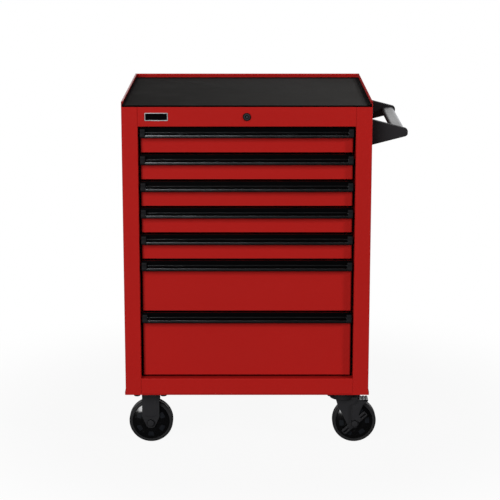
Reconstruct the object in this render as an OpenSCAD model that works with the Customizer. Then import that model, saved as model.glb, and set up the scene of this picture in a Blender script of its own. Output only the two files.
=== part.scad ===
// Rolling tool cabinet: seven drawers on telescopic slides, a key lock that
// lifts a locking bar, a push handle on the right side and four casters.
// Frame: +Z up, front towards -Y, origin on the floor under the middle of the outline.

/* [Carcass] */
// Width across the side panels
body_w = 686; // [600:1:900]
// Depth from the front frame to the rear flanges
body_d = 610; // [600:1:760]
// Thickness of the carcass sheet
sheet = 1.2; // [0.8:0.1:1.4]
// Inside radius of the sheet bends
bend_r = 0.8; // [0.4:0.1:0.8]
// Width of each front post
post_w = 44.5; // [42:0.5:60]
// Depth of the flange that each post turns back beside the drawers
post_return = 34; // [28:1:44]
// Width of the flange that each side panel turns in at the back
rear_flange = 22; // [15:1:40]
// Height of the front rail above the drawers
top_rail_h = 54; // [52:1:80]
// Height of the front rail below the drawers
bottom_rail_h = 48; // [30:1:80]
// Depth of the flanges turned back from the front rails
rail_return = 30; // [20:1:45]
// Depth of the bottom rail's flange on the base pan
foot_return = 12; // [8:0.5:14]
// Height of the rim above the top panel
rim_h = 16; // [12:0.5:30]
// Width of the fold along the rim
rim_fold = 5; // [4:0.5:10]
// Depth of the lip turned down inside the rim
rim_lip = 6; // [4:0.5:8]
// Opening left between the rim folds at the rear corners
rim_notch = 2; // [1:0.5:6]
// Thickness of the base pan
pan_t = 2; // [1.5:0.1:3]
// Height of the base pan's lips outside the side panels
pan_lip = 10; // [6:0.5:20]
// Thickness of the top mat
mat_t = 5; // [2:0.5:6]
// Gap between the mat and what surrounds it
mat_gap = 1; // [0.5:0.5:4]
// Radius of the mat's corners
mat_r = 4; // [2:0.5:20]

/* [Drawers] */
// Height of each of the five shallow drawer fronts
shallow_h = 69; // [66:1:90]
// Height of the sixth drawer's front
medium_h = 144; // [100:1:180]
// Height of the seventh drawer's front
deep_h = 181.5; // [120:0.5:260]
// Gap between drawer fronts
front_gap = 6; // [4:0.5:10]
// Gap between the top rail and the first drawer
top_gap = 4.5; // [3:0.5:10]
// Gap between the last drawer and the bottom rail
bottom_gap = 7; // [4:0.5:12]
// Gap between a drawer front and each post
side_gap = 6.5; // [2:0.5:8]
// Distance of the drawer fronts behind the front frame
front_recess = 18; // [14:0.5:24]
// Depth of the flanges behind a drawer front
front_return = 12; // [8:0.5:16]
// Thickness of the drawer sheet
tray_t = 1; // [0.8:0.1:1.4]
// Height of the drawer floor above the front's lower edge
floor_lift = 6; // [4:0.5:10]
// Drop of the drawer sides below the top of the front
side_drop = 14; // [8:0.5:16]
// Width of the rolled edge on the drawer sides
tray_roll = 4; // [3:0.5:6]

/* [Drawer pulls] */
// Height of a pull
pull_h = 28; // [24:0.5:34]
// Depth of a pull in front of the drawer front
pull_d = 16; // [14:0.5:20]
// Wall of the pull's back
pull_wall = 2.2; // [1.6:0.1:3]
// Floor of the pull's finger trough
pull_floor = 3; // [2:0.1:4]
// Height of the pull's front lip
lip_h = 6.6; // [6:0.2:9]
// Thickness of the pull's front lip
lip_t = 5; // [4:0.1:6]
// Lean of the lip's front face
lip_lean = 1; // [0.4:0.1:1.4]
// Height of the middle of the ridge on the pull's back
ridge_z = 12.7; // [12:0.1:21]
// Width of the ridge on the pull's back
ridge_w = 5.8; // [4:0.1:6.4]
// Reach of the ridge from the pull's back
ridge_d = 2; // [1:0.1:2.5]
// Length of each end cap
cap_l = 13.5; // [8:0.5:20]
// Reach of the end caps in front of the pull
cap_proud = 0.6; // [0.2:0.1:2]
// Gap between an end cap and the post
cap_gap = 5.5; // [1:0.5:7]

/* [Slides] */
// Length of the slides, and travel of the drawers
slide_len = 500; // [420:10:510]
// Height of the cabinet member
slide_h = 38; // [34:0.5:44]
// Width of a closed slide
slide_w = 12.7; // [11:0.1:16]
// Sheet of the slide members
slide_t = 1.2; // [1:0.1:1.5]
// Running gap between slide members
slide_run = 0.4; // [0.3:0.1:0.8]
// Reach of the cabinet member's flanges
slide_flange = 9; // [7:0.5:10]
// Height of the slide's middle above the drawer floor
slide_lift = 24; // [22:0.5:26]
// Gap behind the drawer front's flanges
slide_gap = 2; // [1:0.5:5]
// Width of the uprights that carry the slides
upright_w = 40; // [30:1:60]
// Gap between the front uprights and the posts
upright_gap = 2; // [1:0.5:6]

/* [Lock] */
// Drop of the lock below the top panel
lock_drop = 26.8; // [24:0.2:30]
// Radius of the lock's face
lock_face_r = 11; // [10:0.5:14]
// Thickness of the lock's face
lock_face_t = 3; // [2:0.5:5]
// Radius of the barrel behind the rail
barrel_r = 9; // [8:0.5:11]
// Length of the barrel behind the rail's face
barrel_l = 20; // [14:1:30]
// Radius of the turning plug
plug_r = 6.5; // [5:0.1:7]
// Reach of the plug in front of the lock's face
plug_proud = 0.4; // [0.2:0.1:2]
// Radius of the shaft behind the plug
shaft_r = 4; // [3:0.5:5]
// Crank radius of the shaft
crank_r = 8.5; // [8:0.1:9]
// Radius of the crank pin
pin_r = 2.5; // [2:0.1:3]
// Thickness of the crank and of the locking bar
bar_t = 3; // [2:0.5:4]
// Width of the locking bar
bar_w = 26; // [24:1:40]
// Gap between the locking bar and the back panel
bar_back_gap = 8; // [5:0.5:12]
// Gap from a drawer's back to the locking bar
catch_reach = 24; // [21:1:34]
// Height of a drawer's catch above the front's lower edge
catch_z = 46; // [44:1:48]
// Height of the hooks on the locking bar
hook_h = 14.5; // [12:0.1:14.8]

/* [Handle] */
// Reach of the handle from the side panel
handle_reach = 104; // [80:1:140]
// Height of a bracket at the side panel
bracket_h = 73; // [60:1:90]
// Radius of a bracket's tip
bracket_tip_r = 9; // [9:0.5:16]
// Thickness of a bracket
bracket_t = 20; // [14:1:30]
// Edge bevel of a bracket
bracket_bevel = 3; // [1:0.5:5]
// Distance of the brackets' middles from the front and back
handle_inset = 88; // [40:1:140]
// Drop of the handle below the top panel
handle_drop = 82; // [60:1:200]
// Width of the handle bar
grip_w = 38; // [30:1:46]
// Thickness of the handle bar
grip_t = 18; // [14:0.5:20]
// Distance of the bar's outer edge from the brackets' tips
grip_set = 5; // [4:0.5:12]

/* [Casters] */
// Height of the base above the floor
caster_h = 155.5; // [154.5:0.5:175]
// Wheel diameter
wheel_d = 125; // [120:1:126]
// Width of the tyre
tyre_w = 36; // [32:1:38]
// Thickness of the tyre
tyre_t = 9.5; // [7:0.5:12]
// Width of the wheel hub
hub_w = 53; // [52:0.5:60]
// Radius of the wheel hub
hub_r = 17; // [14:0.5:20]
// Width of the wheel core between its two flat faces
core_w = 49; // [44:0.5:49]
// Rounding between a flat face of the core and its slope down to the tyre
core_round = 15; // [8:0.5:15]
// Height of the pads above the faces of the core
pad_h = 1; // [0.5:0.5:1.5]
// Radial length of the pads
pad_l = 13; // [9:0.5:14]
// Number of pads on each face of the core
pad_count = 6; // [5:1:7]
// Radius of the axles
axle_r = 6; // [5:0.5:7]
// Running clearance of shafts in their bores
run_fit = 0.05; // [0.02:0.01:0.1]
// Clearance of bolts in their holes
bolt_fit = 0.2; // [0.1:0.1:0.4]
// Gap between the hub and the fork
hub_gap = 0.5; // [0.3:0.1:1]
// Sheet of the forks and caster plates
fork_t = 4; // [3:0.5:5]
// Width of a rigid fork leg
rigid_leg_w = 49; // [46:1:66]
// Distance of the caster bolts from the plates' edges
plate_edge = 10; // [9:0.5:14]
// Radius of the caster plates' corners
plate_r = 8; // [4:0.5:12]
// Spacing of the caster bolts
bolt_span = 75; // [75:0.5:85]
// Radius of the caster bolts
bolt_r = 5; // [4:0.5:5]
// Distance of the casters from the side of the cabinet
caster_inset_x = 68; // [60:1:90]
// Distance of the casters from the front and back
caster_inset_y = 64; // [60:1:90]
// Turn of the right wheels' pads at rest
pad_turn = -24; // [-30:1:30]
// Trail of the swivel casters
trail = 32; // [28:1:36]
// Radius of the swivel race
race_r = 40; // [36:0.5:42]
// Radius of the kingpin
kingpin_r = 8; // [6:0.5:9]
// Thickness of the brake lever
lever_t = 5; // [4:0.5:6]
// Gap on each side of the brake lever
lever_gap = 0.3; // [0.3:0.1:0.8]
// Length of the brake lever's toe bar
toe_bar_l = 91; // [70:1:100]
// Width of the brake lever's toe bar
toe_bar_w = 16; // [12:1:20]
// Tilt of the toe bar
toe_bar_tilt = 37; // [30:1:40]
// Depth of the foot pedal
pedal_d = 34; // [28:1:40]
// Width of the foot pedal
pedal_w = 25; // [18:1:28]

/* [Hidden] */
$fn = 64;
red = [0.64, 0.11, 0.10];
black = [0.09, 0.09, 0.10];
grey_black = [0.16, 0.16, 0.17];
zinc = [0.72, 0.73, 0.75];
eps = 0.01;
arc_steps = 5;

// Front frame and drawer stack
front_heights = [shallow_h, shallow_h, shallow_h, shallow_h, shallow_h, medium_h, deep_h];
drawer_count = len(front_heights);
function stack_h(k) = k == 0 ? 0 : stack_h(k - 1) + front_heights[k - 1] + front_gap;
opening_h = top_gap + stack_h(drawer_count) - front_gap + bottom_gap;
opening_w = body_w - 2 * post_w;
base_z = caster_h;
body_h = top_rail_h + opening_h + bottom_rail_h;
top_z = base_z + body_h;
rim_z = top_z + rim_h;
wall_z = base_z + pan_t;
ceiling_z = top_z - sheet;
inner_x = body_w / 2 - sheet;
back_y = body_d - 2 * sheet;
function front_top(k) = top_z - top_rail_h - top_gap - stack_h(k);
function front_bottom(k) = front_top(k) - front_heights[k];

// Drawer and slide layout
front_w = opening_w - 2 * side_gap;
tray_w = opening_w - 2 * slide_w;
slide_y = front_recess + front_return + slide_gap;
bar_y = back_y - bar_back_gap - bar_t;
tray_back = bar_y - catch_reach;
step = slide_t + slide_run;
middle_h = slide_h - 2 * step;
inner_h = middle_h - 2 * step;
pull_w = opening_w - 2 * cap_gap;
front_upright_y = post_return + upright_gap;
rear_upright_y = slide_y + slide_len - upright_w;

// Lock layout
lock_z = top_z - lock_drop;
crank_side = crank_r * sqrt(0.5);
bar_x = -crank_side;
pin_rest_z = lock_z - crank_side;
bar_lift = 2 * crank_side;
pin_gap = 0.6;
bar_crank_gap = 0.6;
crank_t = bar_t;
shaft_y = barrel_l + plug_proud + 4;
bar_top = pin_rest_z + pin_r + pin_gap + 8;
catch_t = 2;
catch_tip = bar_lift + catch_t + 1;
catch_w = bar_w - 4;
catch_gap = 3;
hook_t = 2.5;
hook_reach = 14;
hook_clear = 1.5;
guide_wall = 2.5;
guide_gap = 0.4;
guide_h = 14;
guide_drawers = [1, 5];
guide_lift = 6;
bearing_t = 3;
bearing_w = 22;
bearing_gap = 8;
function catch_top(k) = front_bottom(k) + catch_z;
function hook_top(k) = catch_top(k) - catch_tip - hook_clear;
function hook_bottom(k) = hook_top(k) - hook_h;
bar_bottom = hook_bottom(drawer_count - 1) - 8;

// Caster layout
wheel_r = wheel_d / 2;
core_r = wheel_r - tyre_t;
caster_x = body_w / 2 - caster_inset_x;
caster_ys = [caster_inset_y, body_d - caster_inset_y];
bolt_offsets = [for (x = [-1, 1], y = [-1, 1]) [x * bolt_span / 2, y * bolt_span / 2]];
plate_w = bolt_span + 2 * plate_edge;
plate_z = base_z - fork_t;
leg_y = hub_w / 2 + hub_gap;
leg_out = leg_y + fork_t;
bolt_head_t = 6.4;
bolt_head_r = 9.2;
axle_head_t = 7.5;
axle_head_r = 10.6;
race_wall = 3.5;
race_top_gap = 0.5;
crown_top = plate_z - 12;
crown_z = crown_top - fork_t;
pin_head_t = 7;
pin_head_gap = 0.5;
lever_in = leg_out + lever_gap;
lever_out = lever_in + lever_t;

// Handle layout
handle_z = top_z - handle_drop;
handle_ys = [handle_inset, body_d - handle_inset];

// The outline's middle, in the frame of the front's middle
outline_x = (handle_reach - pan_t) / 2;
outline_y = (body_d - lock_face_t - plug_proud) / 2;

// Plane geometry: rounded corners, rounded outlines and bent strips
function unit(v) = v / norm(v);
function left_of(v) = [-v[1], v[0]];
function turned(v, a) = [v[0] * cos(a) - v[1] * sin(a), v[0] * sin(a) + v[1] * cos(a)];
function turn_angle(u, v) = atan2(u[0] * v[1] - u[1] * v[0], u * v);
function corner(a, p, b, r) =
    let (u = unit(p - a), v = unit(b - p), turn = turn_angle(u, v), side = sign(turn))
    r == 0 || turn == 0 ? [p] :
    let (n = left_of(u) * side, c = p - u * r * tan(abs(turn) / 2) + n * r)
    [for (i = [0 : arc_steps]) c - r * turned(n, turn * i / arc_steps)];
function rounded(pts, radii) =
    let (n = len(pts))
    [for (i = [0 : n - 1]) each corner(pts[(i + n - 1) % n], pts[i], pts[(i + 1) % n], radii[i])];
function rounded_box(w, h, r) =
    rounded([[-w / 2, -h / 2], [w / 2, -h / 2], [w / 2, h / 2], [-w / 2, h / 2]], [r, r, r, r]);
function heading(pts, i) = unit(pts[i + 1] - pts[i]);
function bend(pts, i) = turn_angle(heading(pts, i - 1), heading(pts, i));
function shifted(pts, t) =
    let (last = len(pts) - 1)
    [for (i = [0 : last])
        i == 0 ? pts[0] + left_of(heading(pts, 0)) * t :
        i == last ? pts[last] + left_of(heading(pts, last - 1)) * t :
        let (m = left_of(heading(pts, i - 1)), n = left_of(heading(pts, i)))
        pts[i] + (m + n) * t / (1 + m * n)];
function bent_line(pts, inner, outer, side) =
    let (last = len(pts) - 1)
    [pts[0],
     for (i = [1 : last - 1])
        each corner(pts[i - 1], pts[i], pts[i + 1], bend(pts, i) * side > 0 ? outer : inner),
     pts[last]];
function reversed(pts) = [for (i = [len(pts) - 1 : -1 : 0]) pts[i]];
// A sheet of thickness t bent along a line, with its material to the left of the line
function strip(pts, t, r) =
    concat(bent_line(pts, r, r + t, 1), reversed(bent_line(shifted(pts, t), r, r + t, -1)));

// Extrusions of an outline along each axis
module along_x(x, l) translate([x, 0, 0]) rotate([90, 0, 90]) linear_extrude(l) children();
module along_y(y, l) translate([0, y + l, 0]) rotate([90, 0, 0]) linear_extrude(l) children();
module along_z(z, l) translate([0, 0, z]) linear_extrude(l) children();
module both_sides() {
    children();
    mirror([1, 0, 0]) children();
}
module at_casters(x) for (y = caster_ys) translate([x, y, 0]) children();
module rod_y(r, y, l) translate([0, y + l, 0]) rotate([90, 0, 0]) cylinder(r = r, h = l);
module hex_y(r, y, l) translate([0, y + l, 0]) rotate([90, 0, 0]) cylinder(r = r, h = l, $fn = 6);

// Carcass
module side_panel() {
    plan = [[opening_w / 2, post_return], [opening_w / 2, 0], [body_w / 2, 0],
            [body_w / 2, body_d], [body_w / 2 - rear_flange, body_d]];
    rim_line = [[body_w / 2, top_z - eps], [body_w / 2, rim_z],
                [body_w / 2 - rim_fold, rim_z], [body_w / 2 - rim_fold, rim_z - rim_lip]];
    fold_end = body_d - rim_fold - rim_notch - sheet;
    difference() {
        along_z(wall_z, top_z - wall_z) polygon(strip(plan, sheet, bend_r));
        // Seat of the top panel behind the post's face
        translate([opening_w / 2 - 1, sheet, ceiling_z])
            cube([post_w + 1 - sheet, post_return + 1, top_z - ceiling_z + 1]);
    }
    along_y(sheet + bend_r, fold_end - sheet - bend_r) polygon(strip(rim_line, sheet, bend_r));
    translate([inner_x, fold_end - eps, top_z - eps])
        cube([sheet, body_d - bend_r - sheet - fold_end, rim_h - rim_lip]);
}
module back_panel() {
    outer_y = body_d - sheet;
    section = [[outer_y, wall_z], [outer_y, rim_z],
               [outer_y - rim_fold, rim_z], [outer_y - rim_fold, rim_z - rim_lip]];
    notch_x = body_w / 2 - rim_fold - rim_notch;
    difference() {
        along_x(-inner_x, 2 * inner_x) polygon(strip(section, sheet, bend_r));
        both_sides() translate([notch_x, body_d - 3 * rim_fold, rim_z - rim_lip])
            cube([body_w, 3 * rim_fold, rim_h]);
    }
}
module cabinet_shell() color(red) {
    both_sides() side_panel();
    back_panel();
}
module top_panel() {
    rail_line = [[back_y, top_z], [0, top_z],
                 [0, top_z - top_rail_h], [rail_return, top_z - top_rail_h]];
    color(red) difference() {
        union() {
            along_x(-opening_w / 2, opening_w) polygon(strip(rail_line, sheet, bend_r));
            both_sides() translate([opening_w / 2 - eps, sheet, ceiling_z])
                cube([inner_x - opening_w / 2 + eps, back_y - sheet, sheet]);
        }
        translate([0, 0, lock_z]) rod_y(barrel_r + bolt_fit, -1, sheet + 2);
    }
}
module bottom_panel() {
    edge_x = body_w / 2 + pan_t;
    section = [[-edge_x, base_z + pan_lip], [-edge_x, base_z], [edge_x, base_z], [edge_x, base_z + pan_lip]];
    color(red) difference() {
        along_y(0, body_d) polygon(strip(section, pan_t, 0));
        for (side = [-1, 1]) at_casters(side * caster_x) for (p = bolt_offsets)
            translate([p[0], p[1], base_z - 1]) cylinder(r = bolt_r + bolt_fit, h = pan_t + 2);
    }
}
module bottom_rail() {
    rail_z = base_z + bottom_rail_h;
    section = [[rail_return, rail_z], [0, rail_z], [0, wall_z], [foot_return, wall_z]];
    color(red) along_x(-opening_w / 2, opening_w) polygon(strip(section, sheet, bend_r));
}
module top_mat() {
    x = body_w / 2 - rim_fold - mat_gap;
    y_front = sheet + bend_r;
    y_back = body_d - sheet - rim_fold - mat_gap;
    color(black) translate([0, (y_front + y_back) / 2, 0]) along_z(top_z, mat_t)
        polygon(rounded_box(2 * x, y_back - y_front, mat_r));
}
module slide_uprights() color(red) both_sides() for (y = [front_upright_y, rear_upright_y]) {
    plan = [[inner_x, y + upright_w], [opening_w / 2, y + upright_w], [opening_w / 2, y], [inner_x, y]];
    along_z(wall_z, ceiling_z - wall_z) polygon(strip(plan, sheet, bend_r));
}

// Telescopic slides: three nested channels, given by their web and flange ends
function slide_z(k) = front_bottom(k) + floor_lift + slide_lift;
module channel(k, web_x, flange_x, h) {
    z = slide_z(k);
    facing = web_x > flange_x;
    section = [[flange_x, z - h / 2], [web_x, z - h / 2], [web_x, z + h / 2], [flange_x, z + h / 2]];
    both_sides() along_y(slide_y, slide_len)
        polygon(strip(facing ? section : reversed(section), slide_t, bend_r));
}
module cabinet_slides() color(zinc) for (k = [0 : drawer_count - 1])
    channel(k, opening_w / 2, opening_w / 2 - slide_flange, slide_h);
module slide_middle(k) color(zinc)
    channel(k, opening_w / 2 - step, tray_w / 2 + step, middle_h);
module slide_inner(k) color(zinc)
    channel(k, tray_w / 2, opening_w / 2 - 2 * step, inner_h);

// Drawers
module drawer_box(k) {
    z0 = front_bottom(k);
    z1 = front_top(k);
    floor_z = z0 + floor_lift;
    side_z = z1 - side_drop;
    front_plan = [[-front_w / 2, front_recess + front_return], [-front_w / 2, front_recess],
                  [front_w / 2, front_recess], [front_w / 2, front_recess + front_return]];
    catch_y = bar_y - catch_gap;
    catch_line = [[tray_back - eps, catch_top(k)], [catch_y, catch_top(k)],
                  [catch_y, catch_top(k) - catch_tip]];
    color(red) {
        along_z(z0, z1 - z0) polygon(strip(front_plan, tray_t, bend_r));
        difference() {
            translate([-tray_w / 2, front_recess, floor_z])
                cube([tray_w, tray_back - front_recess, side_z - floor_z]);
            translate([-tray_w / 2 + tray_t, front_recess + tray_t, floor_z + tray_t])
                cube([tray_w - 2 * tray_t, tray_back - front_recess - 2 * tray_t, side_z - floor_z]);
        }
        // Edges rolled inwards along the sides
        both_sides() translate([tray_w / 2 - tray_roll, front_recess + tray_t - eps, side_z - tray_t])
            cube([tray_roll, tray_back - front_recess - tray_t + eps, tray_t]);
        // Catch for the locking bar
        along_x(bar_x - catch_w / 2, catch_w)
            polygon(strip(reversed(catch_line), catch_t, bend_r));
    }
}
function pull_section() =
    let (front = pull_d, inner = pull_d - lip_t, wall = pull_wall, back = wall + ridge_d)
    let (low = ridge_z - ridge_w / 2, high = ridge_z + ridge_w / 2, slope = 1.1)
    let (edge = min(1.2, (lip_h - pull_floor) / 2.5, (lip_t - lip_lean) / 2.5))
    rounded(
        [[0, 0], [front, 0], [front - lip_lean, lip_h], [inner, lip_h], [inner, pull_floor],
         [wall, pull_floor], [wall, low], [back, low + slope], [back, high - slope],
         [wall, high], [wall, pull_h], [0, pull_h]],
        [0, 0.8, edge, edge, edge, 3, 0.6, 0.7, 0.7, 0.6, 0.8, 0]);
function cap_section() =
    let (front = pull_d + cap_proud)
    rounded([[0, 0], [front - 4, 0], [front, 3.4], [front, pull_h], [0, pull_h]], [0, 2.5, 2.5, 3, 0]);
module at_front(k) translate([0, front_recess, front_top(k) - pull_h]) mirror([0, 1, 0]) children();
module drawer_pull(k) color(black) at_front(k)
    along_x(-pull_w / 2 + cap_l, pull_w - 2 * cap_l) polygon(pull_section());
module drawer_pull_caps(k) color(grey_black) both_sides() at_front(k)
    along_x(pull_w / 2 - cap_l, cap_l) polygon(cap_section());

// Lock
module lock_barrel() color(grey_black) translate([0, 0, lock_z]) {
    difference() {
        union() {
            rod_y(lock_face_r, -lock_face_t, lock_face_t);
            rod_y(barrel_r, -eps, barrel_l + eps);
        }
        rod_y(plug_r + run_fit, -lock_face_t - 1, lock_face_t + barrel_l + 2);
    }
    difference() {
        hex_y(barrel_r + 5, sheet, 5);
        rod_y(barrel_r + run_fit, 0, 10);
    }
}
module lock_plug() color(zinc) translate([0, 0, lock_z]) difference() {
    rod_y(plug_r, -lock_face_t - plug_proud, lock_face_t + plug_proud + shaft_y);
    translate([-0.9, -lock_face_t - plug_proud - 1, -4]) cube([1.8, 12, 8]);
}
module lock_shaft() color(zinc) translate([0, 0, lock_z]) {
    crank_y = bar_y - bar_crank_gap - crank_t;
    arm = rounded_box(2 * (pin_r + 2), crank_r + shaft_r + pin_r + 4, pin_r + 2);
    rod_y(shaft_r, shaft_y, crank_y - shaft_y + eps);
    rotate([0, 45, 0]) {
        along_y(crank_y, crank_t) translate([0, -(crank_r + pin_r - shaft_r) / 2]) polygon(arm);
        translate([0, 0, -crank_r]) rod_y(pin_r, crank_y, crank_t + bar_crank_gap + bar_t + 2);
    }
}
module lock_bar() {
    slot_w = crank_r - crank_side + 2 * (pin_r + pin_gap);
    color(zinc) {
        difference() {
            translate([bar_x - bar_w / 2, bar_y, bar_bottom]) cube([bar_w, bar_t, bar_top - bar_bottom]);
            // Slot in which the crank pin slides
            translate([bar_x + pin_r + pin_gap - slot_w, bar_y - 1, pin_rest_z - pin_r - pin_gap])
                cube([slot_w, bar_t + 2, 2 * (pin_r + pin_gap)]);
        }
        for (k = [0 : drawer_count - 1]) {
            line = [[bar_y + eps, hook_bottom(k)], [bar_y - hook_reach, hook_bottom(k)],
                    [bar_y - hook_reach, hook_top(k)]];
            along_x(bar_x - catch_w / 2, catch_w) polygon(strip(reversed(line), hook_t, bend_r));
        }
    }
}
module lock_guides() color(zinc) {
    slot = [bar_w + 2 * guide_gap, bar_t + 2 * guide_gap];
    for (k = guide_drawers)
        translate([bar_x - slot[0] / 2 - guide_wall, 0, catch_top(k) + guide_lift]) difference() {
            translate([0, bar_y - guide_gap - guide_wall, 0])
                cube([slot[0] + 2 * guide_wall, back_y - bar_y + guide_gap + guide_wall, guide_h]);
            translate([guide_wall, bar_y - guide_gap, -1]) cube([slot[0], slot[1], guide_h + 2]);
        }
    // Bearing plate that hangs the shaft's rear end from the top panel
    translate([0, bar_y - bar_crank_gap - crank_t - bearing_gap, 0]) difference() {
        translate([-bearing_w / 2, 0, lock_z - bearing_w / 2])
            cube([bearing_w, bearing_t, ceiling_z - lock_z + bearing_w / 2]);
        translate([0, 0, lock_z]) rod_y(shaft_r + run_fit, -1, bearing_t + 2);
    }
}

// Push handle
function bracket_outline(inset) =
    let (x = handle_reach - inset, r = bracket_tip_r - inset)
    rounded([[0, -bracket_h / 2 + inset], [x, -r - 0.5], [x, r + 0.5], [0, bracket_h / 2 - inset]], [0, r, r, 0]);
module handle_brackets() color(black) for (y = handle_ys) translate([body_w / 2, y - bracket_t / 2, handle_z])
    hull() {
        along_y(bracket_bevel, bracket_t - 2 * bracket_bevel) polygon(bracket_outline(0));
        along_y(0, bracket_t) polygon(bracket_outline(bracket_bevel));
    }
module handle_bar() color(black)
    translate([body_w / 2 + handle_reach - grip_set - grip_w / 2, 0, handle_z])
    along_y(handle_inset + bracket_t / 2, body_d - 2 * handle_inset - bracket_t)
    polygon(rounded_box(grip_w, grip_t, grip_t / 2 - 0.2));

// Casters, each about its own middle at floor level
module caster_plate() difference() {
    along_z(plate_z, fork_t) polygon(rounded_box(plate_w, plate_w, plate_r));
    for (p = bolt_offsets) translate([p[0], p[1], plate_z - 1]) cylinder(r = bolt_r + bolt_fit, h = fork_t + 2);
}
module leg_pair(outline) for (y = [-leg_out, leg_y]) along_y(y, fork_t) polygon(outline);
module axle_bore(x) translate([x, 0, wheel_r]) rod_y(axle_r + bolt_fit, -leg_out - 5, 2 * leg_out + 10);
module axle_bolt(x, head_y) translate([x, 0, wheel_r]) {
    hex_y(axle_head_r, head_y - axle_head_t, axle_head_t);
    rod_y(axle_r, head_y - eps, leg_out + axle_head_t + 3 - head_y);
    difference() {
        hex_y(axle_head_r, leg_out, axle_head_t);
        rod_y(axle_r + run_fit, leg_out - 1, axle_head_t + 2);
    }
}
module rigid_frame() {
    half = rigid_leg_w / 2;
    tip_r = 2 * axle_r;
    tip_z = wheel_r - 1.35 * tip_r;
    taper_z = wheel_r + 0.35 * rigid_leg_w;
    leg = rounded([[-half, plate_z], [-half, taper_z], [-tip_r + 2, tip_z], [tip_r - 2, tip_z],
                   [half, taper_z], [half, plate_z]], [0, 6, tip_r, tip_r, 6, 0]);
    rib = rounded([[-half + 6, plate_z - 8], [-half + 6, taper_z + 2], [0, wheel_r + axle_head_r + 3],
                   [half - 6, taper_z + 2], [half - 6, plate_z - 8]], [4, 6, 10, 6, 4]);
    caster_plate();
    difference() {
        union() {
            leg_pair(leg);
            for (y = [-leg_out - 0.8, leg_out - eps]) along_y(y, 0.8 + eps) polygon(rib);
            translate([-half, -leg_y - eps, plate_z - fork_t]) cube([rigid_leg_w, 2 * leg_y + 2 * eps, fork_t]);
        }
        axle_bore(0);
    }
}
module rigid_caster_frames() color(grey_black) at_casters(-caster_x) rigid_frame();
module swivel_plate() {
    race_in = race_r - race_wall - 0.6;
    caster_plate();
    difference() {
        translate([0, 0, plate_z - 8]) cylinder(r = race_in, h = 8 + eps);
        translate([0, 0, plate_z - 9]) cylinder(r = race_in - 10, h = 9);
    }
    translate([0, 0, crown_z - eps]) cylinder(r = kingpin_r, h = plate_z - crown_z + 2 * eps);
    translate([0, 0, crown_z - pin_head_gap]) mirror([0, 0, 1]) {
        cylinder(r = kingpin_r + 4, h = pin_head_t - 3);
        translate([0, 0, pin_head_t - 3 - eps]) cylinder(r1 = kingpin_r + 4, r2 = kingpin_r, h = 3);
    }
    translate([0, 0, crown_z - pin_head_gap - eps]) cylinder(r = kingpin_r, h = pin_head_gap + 2 * eps);
}
module swivel_caster_plates() color(grey_black) at_casters(caster_x) swivel_plate();
module swivel_fork() {
    tip_r = 2 * axle_r;
    tip_z = wheel_r - 1.4 * tip_r;
    front_x = trail + tip_r - 1;
    shoulder_z = crown_top - 0.6 * race_r;
    leg = rounded([[-0.55 * race_r, crown_top], [-0.35 * race_r, shoulder_z], [trail - tip_r, tip_z],
                   [front_x, tip_z], [front_x, crown_top - tip_r], [trail + axle_r, crown_top]],
                  [0, tip_r / 2, tip_r - 1, tip_r - 1, tip_r / 3, 0]);
    difference() {
        union() {
            translate([0, 0, crown_z]) cylinder(r = race_r, h = fork_t);
            difference() {
                translate([0, 0, crown_z]) cylinder(r = race_r, h = plate_z - race_top_gap - crown_z);
                translate([0, 0, crown_top]) cylinder(r = race_r - race_wall, h = plate_z);
            }
            leg_pair(leg);
        }
        axle_bore(trail);
        translate([0, 0, crown_z - 1]) cylinder(r = kingpin_r + run_fit, h = fork_t + 2);
    }
    axle_bolt(trail, -lever_out - lever_gap);
}
module brake_lever() translate([trail, 0, wheel_r]) {
    boss_r = axle_head_r + 2.4;
    toe_r = toe_bar_w / 2;
    toe_rib = 6;
    rib_h = 2;
    pedal_x = 13;
    pedal_z = wheel_r + 2.6;
    pedal_t = 5;
    pedal_end = pedal_x + pedal_w;
    shoulder = 56;
    arm = rounded([[-9, 0], [-9, shoulder], [5, shoulder], [pedal_x - 2, pedal_z], [pedal_end, pedal_z + pedal_t],
                   [pedal_end, pedal_z], [pedal_x + 12, pedal_z - 9], [13, 30], [boss_r, 0]],
                  [0, 3, 6, 4, 0, 3, 10, 20, 0]);
    difference() {
        union() {
            along_y(-lever_out, lever_t) {
                circle(r = boss_r);
                polygon(arm);
                rotate(toe_bar_tilt) polygon(rounded_box(toe_bar_l, toe_bar_w, toe_r - 4));
            }
            // Raised ribs across the ends of the toe bar
            rotate([0, -toe_bar_tilt, 0]) for (x = [-toe_bar_l / 2 + toe_rib, toe_bar_l / 2 - 2 * toe_rib])
                translate([x, -lever_out - rib_h, -toe_r + 2]) cube([toe_rib, rib_h + eps, toe_bar_w - 4]);
            // Foot pedal over the tyre, with ribs along it
            translate([pedal_x, -lever_out, pedal_z]) cube([pedal_w, pedal_d, pedal_t]);
            for (i = [0 : 2])
                translate([pedal_x + 2 + i * (pedal_w - 8) / 2, -lever_out, pedal_z + pedal_t - eps])
                cube([4, pedal_d, rib_h]);
        }
        rod_y(axle_r + run_fit, -lever_out - 5, lever_t + 10);
    }
}
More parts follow.
